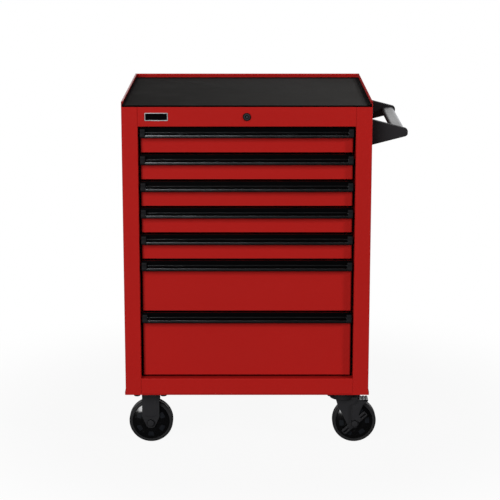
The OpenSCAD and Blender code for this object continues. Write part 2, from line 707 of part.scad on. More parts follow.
module caster_wheel(turn) translate([0, 0, wheel_r]) rotate([90, 0, 0]) {
    tyre_corner = 7;
    rim_half = tyre_w / 2 - 1;
    face_half = core_w / 2;
    pad_half = face_half + pad_h;
    pad_in = (core_r + hub_r - pad_l) / 2 + 1.5;
    pad_out = pad_in + pad_l;
    face_r = pad_out + 2;
    pad = rounded([[pad_in, -7], [pad_out, -9.5], [pad_out, 9.5], [pad_in, 7]], [3, 3, 3, 3]);
    color(black) rotate_extrude() polygon(rounded(
        [[core_r, -tyre_w / 2], [wheel_r, -tyre_w / 2], [wheel_r, tyre_w / 2], [core_r, tyre_w / 2]],
        [0, tyre_corner, tyre_corner, 0]));
    color(grey_black) {
        rotate_extrude() polygon(rounded(
            [[axle_r + run_fit, -hub_w / 2], [hub_r, -hub_w / 2], [hub_r + 2, -face_half],
             [face_r, -face_half], [core_r, -rim_half], [core_r, rim_half], [face_r, face_half],
             [hub_r + 2, face_half], [hub_r, hub_w / 2], [axle_r + run_fit, hub_w / 2]],
            [0, 0, 0, core_round, 0, 0, core_round, 0, 0, 0]));
        for (i = [0 : pad_count - 1]) rotate(turn - 90 + 360 * i / pad_count)
            translate([0, 0, -pad_half]) linear_extrude(2 * pad_half) polygon(pad);
    }
}
module caster_bolts() color(zinc) {
    for (side = [-1, 1]) at_casters(side * caster_x) for (p = bolt_offsets) translate([p[0], p[1], 0]) {
        translate([0, 0, plate_z - bolt_head_t]) cylinder(r = bolt_head_r, h = bolt_head_t, $fn = 6);
        translate([0, 0, plate_z - eps]) cylinder(r = bolt_r, h = fork_t + pan_t + bolt_head_t + 2 * eps);
        translate([0, 0, wall_z]) cylinder(r = bolt_head_r, h = bolt_head_t, $fn = 6);
    }
    at_casters(-caster_x) axle_bolt(0, -leg_out);
}

// Every node of the assembly
drawer_nodes = ["box", "pull", "pull_caps", "slide_inner", "slide_middle"];
function drawer_name(k, piece) = str("drawer_", k + 1, "_", piece);
ends = ["front", "rear"];

module framed() translate([-outline_x, -outline_y, 0]) children();

framed() cabinet_shell();
framed() top_panel();
framed() bottom_panel();
framed() bottom_rail();
framed() top_mat();
framed() slide_uprights();
framed() cabinet_slides();
framed() lock_barrel();
framed() lock_plug();
framed() lock_shaft();
framed() lock_bar();
framed() lock_guides();
framed() handle_brackets();
framed() handle_bar();
framed() rigid_caster_frames();
framed() swivel_caster_plates();
framed() caster_bolts();
for (i = [0, 1]) {
    y = caster_ys[i];
    framed() translate([-caster_x, y, 0]) caster_wheel(0);
    framed() translate([caster_x + trail, y, 0]) caster_wheel(pad_turn);
    framed() translate([caster_x, y, 0]) color(grey_black) swivel_fork();
    framed() translate([caster_x, y, 0]) color(grey_black) brake_lever();
}
for (k = [0 : drawer_count - 1]) {
    framed() drawer_box(k);
    framed() drawer_pull(k);
    framed() drawer_pull_caps(k);
    framed() slide_inner(k);
    framed() slide_middle(k);
}
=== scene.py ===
from math import cos, pi, radians, sin

import bpy
import numpy as np
from bpy.props import FloatProperty, FloatVectorProperty, IntProperty, PointerProperty
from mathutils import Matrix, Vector


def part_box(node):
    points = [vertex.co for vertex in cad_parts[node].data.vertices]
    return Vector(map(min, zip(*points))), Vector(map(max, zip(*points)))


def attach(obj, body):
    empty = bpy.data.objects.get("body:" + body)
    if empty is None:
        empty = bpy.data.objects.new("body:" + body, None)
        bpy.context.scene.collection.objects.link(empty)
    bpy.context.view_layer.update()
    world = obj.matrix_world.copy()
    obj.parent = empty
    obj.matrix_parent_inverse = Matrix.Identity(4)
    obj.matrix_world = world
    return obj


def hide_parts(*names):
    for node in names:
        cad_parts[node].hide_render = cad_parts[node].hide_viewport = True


# Looks of a rolling tool cabinet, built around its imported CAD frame.
# Shapes are worked out in millimetres in the cabinet's own frame: X from the middle of the
# front, Y back from the front frame, Z up from the floor. piece() puts them into the row frame.
# Finishes read the row frame's metres, because every piece lies at the origin.

bl_info = {
    "name": "Rolling tool cabinet",
    "version": (1, 0, 0),
    "blender": (4, 5, 0),
    "location": "3D View > Sidebar > Cabinet",
    "description": "Builds the looks of a rolling tool cabinet around its CAD frame",
    "category": "Object",
}

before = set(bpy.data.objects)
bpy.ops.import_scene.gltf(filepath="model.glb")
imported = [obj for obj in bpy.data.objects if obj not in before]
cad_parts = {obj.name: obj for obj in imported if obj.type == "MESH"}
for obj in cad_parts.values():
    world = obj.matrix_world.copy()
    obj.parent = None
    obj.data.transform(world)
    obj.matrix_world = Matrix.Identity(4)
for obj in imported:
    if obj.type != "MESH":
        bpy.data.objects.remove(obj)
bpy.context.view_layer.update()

SHELL_LOW, SHELL_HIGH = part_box("cabinet_shell")
ORIGIN = np.array([(SHELL_LOW.x + SHELL_HIGH.x) / 2, SHELL_LOW.y, 0.0]) * 1000
DRAWERS = range(1, 8)
ENDS = ("front", "rear")


def box_mm(node):
    """Lowest and highest corner of a CAD node, in millimetres in the cabinet's frame."""
    low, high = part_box(node)
    return np.array(low) * 1000 - ORIGIN, np.array(high) * 1000 - ORIGIN


def middle_mm(node):
    """Middle of a CAD node's box, in millimetres in the cabinet's frame."""
    return sum(box_mm(node)) / 2


# Forms in millimetres. Sections and outlines are corners, with the radius of each where they are
# rounded; profiles are (radius, distance along the axis).

BASE = box_mm("bottom_panel")[0][2]
PLATE_SHEET = 4
PLATE = BASE - PLATE_SHEET

RIM_FOLD, RIM_LIP, RIM_CORNER, RIM_SET_IN = 5, 6, 7.4, (0.1, 1.3, 0.1)
RIVET_HEAD, RIVET_IN, RIVET_SHARES = 1.3, 10.1, (0.08, 0.5, 0.92)
MAT_TUCK = 4
BARE_PLATE_X = -247.5

PULL_SECTION = [(0, 0), (16, 0), (14.65, 8.9), (11, 8.9), (11, 3), (2.2, 3), (2.2, 9.8),
                (4.2, 10.9), (3.7, 14.5), (2.2, 15.6), (2.2, 28), (0, 28)]
PULL_RADII = [0, 2.9, 0.7, 0.7, 1.2, 3, 0.6, 0.7, 0.7, 0.6, 0.8, 0]
PULL_END_SECTION = [(0, 21), (2.2, 21), (2.2, 28), (0, 28)]
PULL_END_RADII = [0, 0, 0.8, 0]
CAP_SECTION = [(0, 0), (12.6, 0), (16.6, 3.4), (16.6, 8), (16.0, 11), (16.0, 16.5), (16.6, 19.5),
               (16.6, 26), (2, 22), (0, 22)]
CAP_RADII = [0, 2.5, 2.2, 3, 3, 3, 3, 2.4, 0, 0]

BRACKET_DEPTH, BRACKET_TIP = 20, 9.5
BAR_ROUND, BAR_STRETCH = 8.9, (14 / 9, 1)

LOCK_FACE_R, LOCK_NECK_R, LOCK_NUT_R = 11, 9, 14

CASTER_PLATE, CASTER_CORNER, BOLT_REACH = 95, 8, 37.5
FORK_HALF, FORK_BEND, FORK_SHEET, FORK_EDGE = 29, 5, 4, 0.5
CROWN_SEAT = PLATE - 12
RACE_PROFILE = [(25.9, 0), (25.9, -7.4), (26.5, -8), (35.3, -8), (35.9, -7.4), (35.9, 0)]
KINGPIN_PROFILE = [(8, 0), (8, -16.5), (12, -16.5), (12, -20.2), (8.4, -23.3), (7.6, -23.5)]
CROWN_FLANGE = [(39, -9.5), (42.8, -9), (43.4, -8.4), (43.4, -1.6), (42.8, -1), (37, -1)]
CROWN_INSIDE = [(36.5, -1.5), (36.5, -12), (8.1, -12), (8.1, -16), (27, -16)]
RIGID_HEAD, SWIVEL_HEAD = -31, -36.6
AXLE_R, AXLE_HEAD_R, AXLE_HEAD = 5.9, 10.6, 7.5
AXLE_NUT, AXLE_END = 31, 41.5
CASTER_HEAD_R, CASTER_HEAD, CASTER_BOLT_R = 9.2, 6.4, 4.9

ARM_OUTLINE = [(-9, 0), (-9, 56), (5, 56), (11, 65.1), (38, 70.1), (38, 65.1), (25, 56.1), (13, 30),
               (13, 0)]
ARM_RADII = [0, 3, 6, 4, 0.5, 3, 10, 20, 0]
ARM_BORDER = [(0.2, 1), (0, 0.6), (0, 0.3), (0.3, 0), (2.2, 0), (2.6, 0.4), (2.6, 1)]
BOSS_PROFILE = [(6.1, -31.3), (6.1, -36.3), (12.4, -36.3), (13, -35.7), (13, -31.9), (12.4, -31.3)]
TOE_BAR, TOE_BAR_TURN = (87, 16, 4), radians(42)
PEDAL, PEDAL_Y = (29.5, 34, 2), -19.3

TYRE_HALF, TYRE_DEPTH, TYRE_SHOULDER = 18, 9.5, 7
HUB_PROFILE = [(6.1, 26.5), (16.2, 26.5), (17, 26.1), (18.2, 24.9), (19, 24.5)]
FACE_START, FACE_END, FACE_TOP, FACE_FALL = 26, 53, 24.5, 7.5
PAD_OUTLINE = [(30, -7), (43, -9.5), (43, 9.5), (30, 7)]
PAD_SIDE = [(0, -1.0), (0, 0.4), (0.4, 0.8), (2.4, 0.8)]
PAD_TURNS = {"left": radians(-90), "right": radians(6)}

SHARP_ANGLE, BEVEL_ANGLE = radians(32), radians(40)
LAMP_REACH, FLOOR_HALF = 12, 30.0
DIM = 0.008


# Settings


def srgb(*levels):
    """Linear colour of three screen levels from 0 to 255."""
    level = np.array(levels) / 255
    linear = np.where(level <= 0.04045, level / 12.92, ((level + 0.055) / 1.055) ** 2.4)
    return tuple(linear.tolist())


def colour(name, description, levels):
    return FloatVectorProperty(
        name=name, description=description, subtype="COLOR", size=3, min=0, max=1,
        default=srgb(*levels),
    )


def length(name, description, default):
    return FloatProperty(
        name=name, description=description, unit="LENGTH", min=0, default=default / 1000
    )


def share(name, description, default):
    return FloatProperty(
        name=name, description=description, subtype="FACTOR", min=0, max=1, default=default
    )


def power(name, description, default):
    return FloatProperty(name=name, description=description, unit="POWER", default=default)


class CabinetColours(bpy.types.PropertyGroup):
    """Colours and gloss of the finishes"""

    red: colour("Red enamel", "Paint of the carcass and drawers", (166, 28, 25))
    mat: colour("Mat rubber", "Rubber mat on the top", (60, 59, 58))
    pull: colour("Pull black", "Walls of the drawer pulls, and the bare plate", (4, 4, 5))
    sheen: colour("Pull sheen", "Metal sheen of the pulls' lips and ridges", (117, 120, 123))
    cap: colour("Cap plastic", "Moulded ends of the pulls", (23, 23, 25))
    cast: colour("Handle black", "Cast handle brackets", (41, 40, 42))
    grip: colour("Bar black", "Handle bar", (34, 34, 36))
    steel: colour("Caster black", "Painted casters, brakes and lock face", (38, 38, 40))
    tyre: colour("Tyre rubber", "Tread of the wheels", (37, 37, 38))
    # core also colours the axle bolts' hex sides and the toe bar's grooves, there as painted shade
    core: colour("Wheel plastic", "Moulded cores of the wheels, and axle bolts", (5, 5, 6))
    pad: colour("Pad plastic", "Matt pads on the wheels", (22, 24, 28))
    # zinc also gives the pedal ribs their grey, there a painted reflection
    zinc: colour("Zinc", "Plated slides, rivets and lock works", (196, 198, 202))
    bright: colour("Bright frame", "Polished frame of the bare plate", (198, 203, 205))
    red_gloss: share("Enamel roughness", "Roughness of the red enamel", 0.24)
    pull_gloss: share("Pull roughness", "Roughness of the pulls", 0.14)


class CabinetSizes(bpy.types.PropertyGroup):
    """Sizes of the small forms that the solids leave out"""

    mat_edge: length("Mat edge", "Radius of the mat's upper edge", 1.4)
    cap_edge: length("Cap edge", "Radius of the caps' outer edge", 1.2)
    bracket_edge: length("Bracket edge", "Radius of the bracket's edges", 1.4)
    plate_edge: length("Plate edge", "Radius of the caster plates' edges", 0.7)
    plate_w: length("Bare plate width", "Width of the bare plate on the top rail", 64)
    plate_h: length("Bare plate height", "Height of the bare plate on the top rail", 22.6)
    plate_frame: length("Bare plate frame", "Width of the bright frame round it", 2.6)
    rivet_r: length("Rivet radius", "Radius of the rivets that hold the slides", 3.2)
    pad_count: IntProperty(
        name="Wheel pads", description="Pads on each face of a wheel", min=3, max=12, default=6
    )


class CabinetStage(bpy.types.PropertyGroup):
    """Camera, lamps and floor"""

    camera_place: FloatVectorProperty(
        name="Camera place", description="Where the camera stands", subtype="TRANSLATION",
        unit="LENGTH", default=(-0.0425, -4.9587, 1.6486),
    )
    camera_tilt: FloatProperty(
        name="Camera tilt", description="How far the camera looks down", subtype="ANGLE",
        default=radians(12.97),
    )
    camera_lens: FloatProperty(
        name="Camera lens", description="Focal length in mm on a 36 mm sensor", default=123.97
    )
    key_power: power("Key lamp", "Broad lamp in front on the left", 1165)
    side_power: power("Side lamp", "Small lamp in front on the right", 570)
    ambient: share("Ambient", "Light from all round on rough surfaces", 0.10)
    floor_shade: share("Floor shade", "Share of the floor that shows the shadow", 0.07)


def colours():
    return bpy.context.scene.cabinet_colours


def sizes():
    return bpy.context.scene.cabinet_sizes


# Plane outlines


def unit(vectors):
    return vectors / np.linalg.norm(vectors, axis=-1, keepdims=True)


def left_of(vectors):
    return np.stack([-vectors[:, 1], vectors[:, 0]], 1)


def spin(angle):
    """Matrix that turns flat points by an angle."""
    return np.array([[cos(angle), sin(angle)], [-sin(angle), cos(angle)]])


def fillet(corners, radii, steps=6):
    """Closed outline with rounded corners. Each corner becomes an arc that touches both sides:
    centre minus radius times the inner normal, turned by equal parts of the corner's angle."""
    p = np.asarray(corners, float)
    r = np.broadcast_to(np.asarray(radii, float), len(p))
    u = unit(p - np.roll(p, 1, 0))
    v = unit(np.roll(p, -1, 0) - p)
    turn = np.arctan2(u[:, 0] * v[:, 1] - u[:, 1] * v[:, 0], (u * v).sum(1))
    n = left_of(u) * np.sign(turn)[:, None]
    centre = p - u * (r * np.tan(np.abs(turn) / 2))[:, None] + n * r[:, None]
    a = turn[:, None] * np.linspace(0, 1, steps + 1)
    x, y = n[:, :1], n[:, 1:]
    spoke = np.stack([x * np.cos(a) - y * np.sin(a), x * np.sin(a) + y * np.cos(a)], -1)
    arc = (centre[:, None] - r[:, None, None] * spoke).reshape(-1, 2)
    return arc[np.linalg.norm(arc - np.roll(arc, 1, 0), axis=1) > 1e-6]


def rounded_box(width, height, radius, middle=(0, 0), steps=6):
    """Rectangle with rounded corners about a middle point."""
    half = np.array([[-1, -1], [1, -1], [1, 1], [-1, 1]]) * (width / 2, height / 2)
    return fillet(half + middle, radius, steps)


def inset(outline, distance):
    """Outline moved inwards: each point goes along the mitre of its two sides' normals."""
    after = np.roll(outline, -1, 0)
    side = np.sign((outline[:, 0] * after[:, 1] - outline[:, 1] * after[:, 0]).sum())
    m = left_of(unit(outline - np.roll(outline, 1, 0))) * side
    n = left_of(unit(after - outline)) * side
    return outline + (m + n) * (distance / (1 + (m * n).sum(1)))[:, None]


def soft_edges(thickness, low, high, steps=4):
    """Inset and height along a plate's side: a quarter round, a straight wall, a quarter round."""
    a = np.linspace(0, pi / 2, steps + 1)
    foot = np.stack([low * (1 - np.sin(a)), low * (1 - np.cos(a))], 1) if low else np.zeros((1, 2))
    head = np.stack([high * (1 - np.cos(a)), thickness - high * (1 - np.sin(a))], 1)
    return np.concatenate([foot, head if high else head[:1]])


# Closed shells: points, a table of quads and a list of flat ends


def in_space(flat, height, axis):
    """Flat points at a height along an axis as points in space; the other axes keep their order."""
    a, b, h = np.broadcast_arrays(flat[..., 0], flat[..., 1], height)
    return np.stack({"x": (h, a, b), "y": (a, h, b), "z": (a, b, h)}[axis], -1)


def outward(points, quads, caps):
    """The shell with its faces turned round where the volume that they enclose, the sum of
    a . (b x c) over their triangles, comes out negative."""
    fans = [np.stack([np.full(len(c) - 2, c[0]), c[1:-1], c[2:]], 1) for c in caps]
    a, b, c = points[np.concatenate([quads[:, :3], quads[:, [0, 2, 3]], *fans]).T]
    if (a * np.cross(b, c)).sum() < 0:
        quads, caps = quads[:, ::-1], [c[::-1] for c in caps]
    return points, quads, caps


def loft(rings, closed=False):
    """Skin over a stack of rings: point j of ring i joins point j + 1 and ring i + 1. The stack
    closes on itself or has flat ends."""
    m, n = rings.shape[:2]
    i, j = np.meshgrid(np.arange(m if closed else m - 1), np.arange(n), indexing="ij")
    here, beside = i * n + j, i * n + (j + 1) % n
    above, across = (here + n) % (m * n), (beside + n) % (m * n)
    quads = np.stack([here, beside, across, above], -1).reshape(-1, 4)
    first = np.arange(n)
    caps = [] if closed else [first[::-1], first + (m - 1) * n]
    return outward(rings.reshape(-1, 3), quads, caps)


def both_sides(rings):
    """A skin on the cabinet's right and its mirror image on the left."""
    return [loft(rings), loft(rings * (-1, 1, 1))]


def bar_rings(flat, start, end, axis):
    """Rings of a straight bar: one outline at both ends."""
    return in_space(flat[None], np.array([start, end])[:, None], axis)


def plate_rings(outline, side, base, axis):
    """Rings of a shaped edge: the outline moved in by each inset of its side, at each height."""
    return np.stack([in_space(inset(outline, d), base + h, axis) for d, h in side])


def plate(outline, side, base, axis):
    """Plate with shaped edges and flat faces."""
    return loft(plate_rings(outline, side, base, axis))


def frame_strip(outline, section, base, axis):
    """Closed strip round an outline: each point (inset, height) of its section becomes a loop."""
    return loft(plate_rings(outline, section, base, axis), closed=True)


def turned(radius, along, centre, axis, closed=False):
    """Surface about an axis: row i of the radii, one for each angle, lies at distance along[i]."""
    radius = np.asarray(radius, float)
    angle = np.arange(radius.shape[1]) * 2 * pi / radius.shape[1]
    flat = radius[..., None] * np.stack([np.cos(angle), np.sin(angle)], -1)
    rings = in_space(flat, np.asarray(along, float)[:, None], axis) + np.asarray(centre, float)
    return loft(rings, closed)


def lathe(profile, centre, axis, count=96, closed=False):
    """Surface of revolution: each profile point (radius, distance along axis) becomes a ring."""
    profile = np.asarray(profile, float)
    return turned(np.repeat(profile[:, :1], count, 1), profile[:, 1], centre, axis, closed)


def hexagon(radius, turn=0.0):
    """Radii of a turned hexagon: apothem over the cosine of the angle to the nearest flat."""
    angle = np.arange(72) * 2 * pi / 72 - turn
    return radius * cos(pi / 6) / np.cos(angle % (pi / 3) - pi / 6)


def hex_head(radius, height, centre, axis, facing, turn=0.0):
    """Hexagonal head with a turned chamfer: the smaller of the hexagon's radius and a limit that
    falls towards the top. turn moves the corners round the axis."""
    limit = radius * np.array([0.93, 1.0, 1.0, 0.965, 0.91, 0.84, 0.5, 0.46])
    below = np.array([1.7, 0.9, 0.35, 0.1, 0, 0.25])
    along = np.concatenate([[0, 0.5], height - below])
    radii = np.minimum(hexagon(radius, turn), limit[:, None])
    return turned(radii, facing * along, centre, axis)


def threaded(radius, start, end, centre, axis, pitch=1.75, depth=0.9):
    """Threaded end: radius less the thread's depth times the distance to the nearest crest, where
    the crest moves one pitch along the axis for each turn."""
    along = np.linspace(start, end, max(4, int(abs(end - start) / pitch * 8)))
    turn = np.arange(40) / 40
    wave = np.abs((along[:, None] / pitch - turn) % 1 - 0.5) * 2
    return turned(radius - depth * wave, along, centre, axis)


def dome(radius, height, centre, axis, facing):
    """Low round head: an ellipse's quarter turned about the axis."""
    a = np.linspace(0, 0.47 * pi, 6)
    profile = np.stack([radius * np.cos(a), facing * height * np.sin(a)], 1)
    return lathe(profile, centre, axis, 20)


def smooth_step(value):
    t = np.clip(value, 0, 1)
    return t * t * (3 - 2 * t)


def bent_strap(outline, low, high, shift, rise=lambda x, z: np.zeros_like(x)):
    """Fork of one sheet: a strap of the outline's width at each height, carried up one leg from its
    tip, over the bridge and down the other leg. rise(x, z) is how far it is pressed outwards."""
    corners = [(-FORK_HALF, low), (-FORK_HALF, high), (FORK_HALF, high), (FORK_HALF, low)]
    bent = fillet(corners, [0, FORK_BEND, FORK_BEND, 0], 10)
    reach = np.concatenate([[0], np.cumsum(np.linalg.norm(np.diff(bent, axis=0), axis=1))])
    at = reach[-1] * (1 - np.cos(pi * np.linspace(0, 1, 161))) / 2
    path = np.stack([np.interp(at, reach, bent[:, i]) for i in (0, 1)], 1)
    normal = unit(left_of(np.gradient(path, axis=0)))
    z = np.clip(path[:, 1], outline[:, 1].min(), outline[:, 1].max())
    edges = []
    for side in (-1, 1):
        chain = outline[(outline[:, 0] - np.median(outline[:, 0])) * side >= 0]
        chain = chain[np.argsort(chain[:, 1])]
        edges.append(np.interp(z, chain[:, 1], chain[:, 0]))
    x = edges[0][:, None] + (edges[1] - edges[0])[:, None] * np.linspace(0, 1, 25)
    lift = rise(x, path[:, 1:])
    faces = []
    for side in (1, -1):
        out = (lift + side * FORK_SHEET / 2)[..., None]
        faces.append(np.concatenate([x[..., None], path[:, None] + normal[:, None] * out], -1))
    rings = np.concatenate([faces[0], faces[1][:, ::-1]], 1)
    return loft(rings + np.asarray(shift, float))


# Pieces and their finishes


def linked(name, data):
    """A new object in the scene."""
    made = bpy.data.objects.new(name, data)
    bpy.context.scene.collection.objects.link(made)
    return made


def piece(name, shells, body, recipe, nodes=(), bevel=0.0):
    """One mesh of several shells, put into the row frame in metres, painted and given its body."""
    points, faces, start = [], [], 0
    for shell_points, quads, caps in shells:
        points.append(shell_points)
        faces += (quads + start).tolist() + [(c + start).tolist() for c in caps]
        start += len(shell_points)
    mesh = bpy.data.meshes.new(name)
    mesh.from_pydata(((np.concatenate(points) + ORIGIN) / 1000).tolist(), [], faces)
    mesh.polygons.foreach_set("use_smooth", np.ones(len(mesh.polygons), bool))
    mesh.set_sharp_from_angle(angle=SHARP_ANGLE)
    mesh.materials.append(finish_of(recipe))
    made = linked(name, mesh)
    if bevel:
        edge = made.modifiers.new("Edges", "BEVEL")
        edge.width = bevel / 1000
        edge.segments = 2
        edge.limit_method = "ANGLE"
        edge.angle_limit = BEVEL_ANGLE
        edge.harden_normals = True
    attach(made, body)
    if nodes:
        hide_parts(*nodes)


def paint(nodes, recipe):
    """Gives CAD nodes a finish."""
    for name in nodes:
        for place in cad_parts[name].material_slots:
            place.material = finish_of(recipe)


def arithmetic(operation, swapped=False):
    """A method that joins a value and a second one by a Math node."""

    def method(self, other):
        first, second = (other, self) if swapped else (self, other)
        settings, inputs = {"operation": operation}, {0: first, 1: second}
        made = self.finish.node("ShaderNodeMath", settings, inputs)
        return Value(self.finish, made.outputs[0])

    return method


class Value:
    """A shader socket that takes part in sums and products; each of them adds a Math node."""

    def __init__(self, finish, socket):
        self.finish = finish
        self.socket = socket

    __add__, __radd__ = arithmetic("ADD"), arithmetic("ADD", True)
    __sub__, __rsub__ = arithmetic("SUBTRACT"), arithmetic("SUBTRACT", True)
    __mul__, __rmul__ = arithmetic("MULTIPLY"), arithmetic("MULTIPLY", True)
    __pow__ = arithmetic("POWER")


class Finish:
    """The node tree of a material or world under construction: patterns, and what takes them."""

    def __init__(self, owner):
        owner.use_nodes = True
        self.tree = owner.node_tree
        self.tree.nodes.clear()

    def node(self, kind, settings=None, inputs=None):
        """Adds a node, sets its settings, then gives its sockets their values or links."""
        made = self.tree.nodes.new(kind)
        for name, value in (settings or {}).items():
            setattr(made, name, value)
        for name, value in (inputs or {}).items():
            if isinstance(value, Value):
                self.tree.links.new(value.socket, made.inputs[name])
            elif isinstance(value, bpy.types.NodeSocket):
                self.tree.links.new(value, made.inputs[name])
            else:
                made.inputs[name].default_value = value
        return made

    def spot(self):
        """The object's own coordinates in metres."""
        return self.node("ShaderNodeTexCoord").outputs["Object"]

    def part(self, vector, axis):
        """One axis of a vector."""
        return Value(self, self.node("ShaderNodeSeparateXYZ", inputs={0: vector}).outputs[axis])

    def noise(self, scale, detail=2.0, stretch=(1, 1, 1)):
        """Noise in the object's metres, drawn out along an axis where stretch is small."""
        inputs = {"Vector": self.spot(), "Scale": stretch}
        moved = self.node("ShaderNodeMapping", inputs=inputs).outputs[0]
        inputs = {"Vector": moved, "Scale": scale, "Detail": detail}
        return Value(self, self.node("ShaderNodeTexNoise", inputs=inputs).outputs["Fac"])

    def cells(self, scale):
        """Random level of each cell of a scattered mosaic."""
        made = self.node("ShaderNodeTexVoronoi", inputs={"Vector": self.spot(), "Scale": scale})
        split = self.node("ShaderNodeSeparateColor", inputs={0: made.outputs["Color"]})
        return Value(self, split.outputs[0])

    def ramp(self, value, low, high):
        """0 at low, 1 at high, smooth between and level beyond."""
        settings = {"interpolation_type": "SMOOTHSTEP"}
        inputs = {"Value": value, "From Min": low, "From Max": high}
        return Value(self, self.node("ShaderNodeMapRange", settings, inputs).outputs[0])

    def along(self, axis, low, high):
        """Ramp along one of the object's axes."""
        return self.ramp(self.part(self.spot(), axis), low, high)

    def patches(self, scale, detail, low, high):
        """Noise cut to soft patches."""
        return self.ramp(self.noise(scale, detail), low, high)

    def mix(self, factor, first, second):
        """Colour between two colours."""
        inputs = {0: factor, 6: self.opaque(first), 7: self.opaque(second)}
        return self.node("ShaderNodeMix", {"data_type": "RGBA"}, inputs).outputs[2]

    @staticmethod
    def opaque(value):
        return value if isinstance(value, bpy.types.NodeSocket) else (*value, 1)

    def surface(self, base, roughness, height, depth, **more):
        """Principled shader with a bump of the given depth in millimetres, on the output."""
        inputs = {"Height": height, "Distance": depth / 1000, "Strength": 1.0}
        bump = self.node("ShaderNodeBump", inputs=inputs)
        inputs = {"Base Color": base, "Roughness": roughness, "Normal": bump.outputs[0]}
        inputs.update({name.replace("_", " "): value for name, value in more.items()})
        shader = self.node("ShaderNodeBsdfPrincipled", inputs=inputs)
        self.node("ShaderNodeOutputMaterial", inputs={"Surface": shader.outputs[0]})


def enamel(finish, painted_shade=0.0):
    """Baked enamel: faint drifts of tone, orange peel, gloss that varies, sparse fine scuffs, and
    painted shade, a darker red, where it is asked for. Hands have dulled the rim on the
    handle's side."""
    red, corner = colours().red, SHELL_HIGH
    dulled = finish.along("X", corner.x - 0.009, corner.x - 0.007)
    dulled = dulled * finish.along("Z", corner.z - 0.016, corner.z - 0.014)
    scuff = finish.ramp(finish.noise(900, 3, (1, 0.05, 0.35)), 0.70, 0.76)
    scuff = scuff * finish.patches(9, 4, 0.56, 0.68)
    base = finish.mix(finish.noise(2.6, 3), red * 0.93, red * 1.05)
    base = finish.mix(finish.noise(240, 2) * 0.16, base, red * 0.82)
    base = finish.mix(scuff * 0.35, base, red * 1.5)
    # painted shade: the red darkened where this recipe's shade mask is 1
    base = finish.mix(painted_shade, base, red * 0.45)
    gloss = colours().red_gloss - 0.05 + 0.1 * finish.noise(14, 4) + 0.2 * scuff + 0.5 * dulled
    peel = finish.noise(420, 1) + 0.5 * finish.noise(90, 1)
    finish.surface(base, gloss, peel, 0.012, Specular_IOR_Level=0.12)


def drawer_enamel(finish):
    """Enamel of the drawers, with painted shade along the left and right ends of their fronts."""
    low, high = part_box("drawer_1_box")
    # painted shade: masks that darken the last few millimetres at both ends of each front
    left = finish.along("X", low.x + 0.008, low.x)
    enamel(finish, left + finish.along("X", high.x - 0.005, high.x))


def mat_rubber(finish):
    """Rubber mat: fine pebbled skin, dusty patches and painted light, brighter towards the right;
    painted shade on its cut edges and in margins along the foot of the rim."""
    grey = colours().mat
    low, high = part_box("top_mat")
    # painted shade: this mask is 1 away from the rim and falls to 0 in dark margins along its foot
    field = finish.along("X", low.x + 0.001, low.x + 0.006)
    field = field * finish.along("X", high.x - 0.006, high.x - 0.013)
    field = field * finish.along("Y", high.y - 0.012, high.y - 0.055)
    # painted shade: this mask is 0 below the top's rounded edge, so the cut edges go near black
    top = finish.along("Z", high.z - 0.0009, high.z - 0.0001)
    pebble = finish.noise(1300, 2)
    dust = finish.patches(7, 5, 0.45, 0.72)
    # painted light: the mat goes from about a third of its colour at the left to brighter at the
    # right
    base = finish.mix(finish.along("X", -0.5, 0.4), grey * 0.35, grey * 1.35)
    base = finish.mix(dust * 0.5, base, grey * 1.1)
    base = finish.mix(pebble * 0.4, base, grey * 0.7)
    # painted shade in the margins along the foot of the rim
    base = finish.mix(field, grey * 0.12, base)
    # painted shade on the mat's cut edges
    base = finish.mix(top, grey * 0.03, base)
    gloss = 0.8 + 0.1 * finish.noise(30, 3) + 0.06 * dust
    skin = pebble + 0.4 * finish.noise(300, 1)
    finish.surface(base, gloss, skin, 0.10, Specular_IOR_Level=0.02)


def anodised(finish):
    """Black anodised extrusion: hair lines along its length, a metal sheen on the lip and ridge,
    glossier inside the trough, where no fingers wear it, and a dull black wall behind them."""
    low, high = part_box("drawer_1_pull")
    lines = finish.noise(1500, 3, (0.004, 1, 1))
    handled = finish.patches(11, 4, 0.5, 0.7)
    inside = finish.along("Y", low.y + 0.004, low.y + 0.009)
    wall = finish.along("Y", high.y - 0.0034, high.y - 0.0026)
    sheen = finish.mix(lines, colours().sheen * 0.94, colours().sheen * 1.06)
    base = finish.mix(wall, sheen, colours().pull * 0.7)
    gloss = colours().pull_gloss + 0.015 + 0.02 * lines + 0.02 * handled
    gloss = gloss - 0.06 * inside + 0.3 * wall
    finish.surface(base, gloss, lines, 0.0006, Metallic=1 - wall, Specular_IOR_Level=0.03)


def cap_plastic(finish):
    """Moulded plastic: spark-eroded grain, a satin gloss, paler rubbed patches."""
    black = colours().cap
    grain = finish.noise(2200, 2)
    rubbed = finish.patches(60, 4, 0.5, 0.75)
    base = finish.mix(grain * 0.6, black * 1.1, black * 0.72)
    base = finish.mix(rubbed * 0.4, base, black * 1.35)
    gloss = 0.5 - 0.12 * rubbed + 0.08 * finish.noise(40, 2)
    finish.surface(base, gloss, grain, 0.05, Specular_IOR_Level=0.08)


def cast_black(finish):
    """Powder coat on a casting: fine pebbled grain, faint drifts of tone, rubbed places."""
    black = colours().cast
    grain = finish.noise(1100, 3)
    rubbed = finish.patches(24, 5, 0.54, 0.75)
    base = finish.mix(finish.noise(6, 3), black * 0.84, black * 1.12)
    base = finish.mix(grain * 0.5, base, black * 0.72)
    gloss = 0.5 - 0.1 * rubbed + 0.08 * finish.noise(50, 2)
    finish.surface(base, gloss, grain, 0.06, Specular_IOR_Level=0.1)


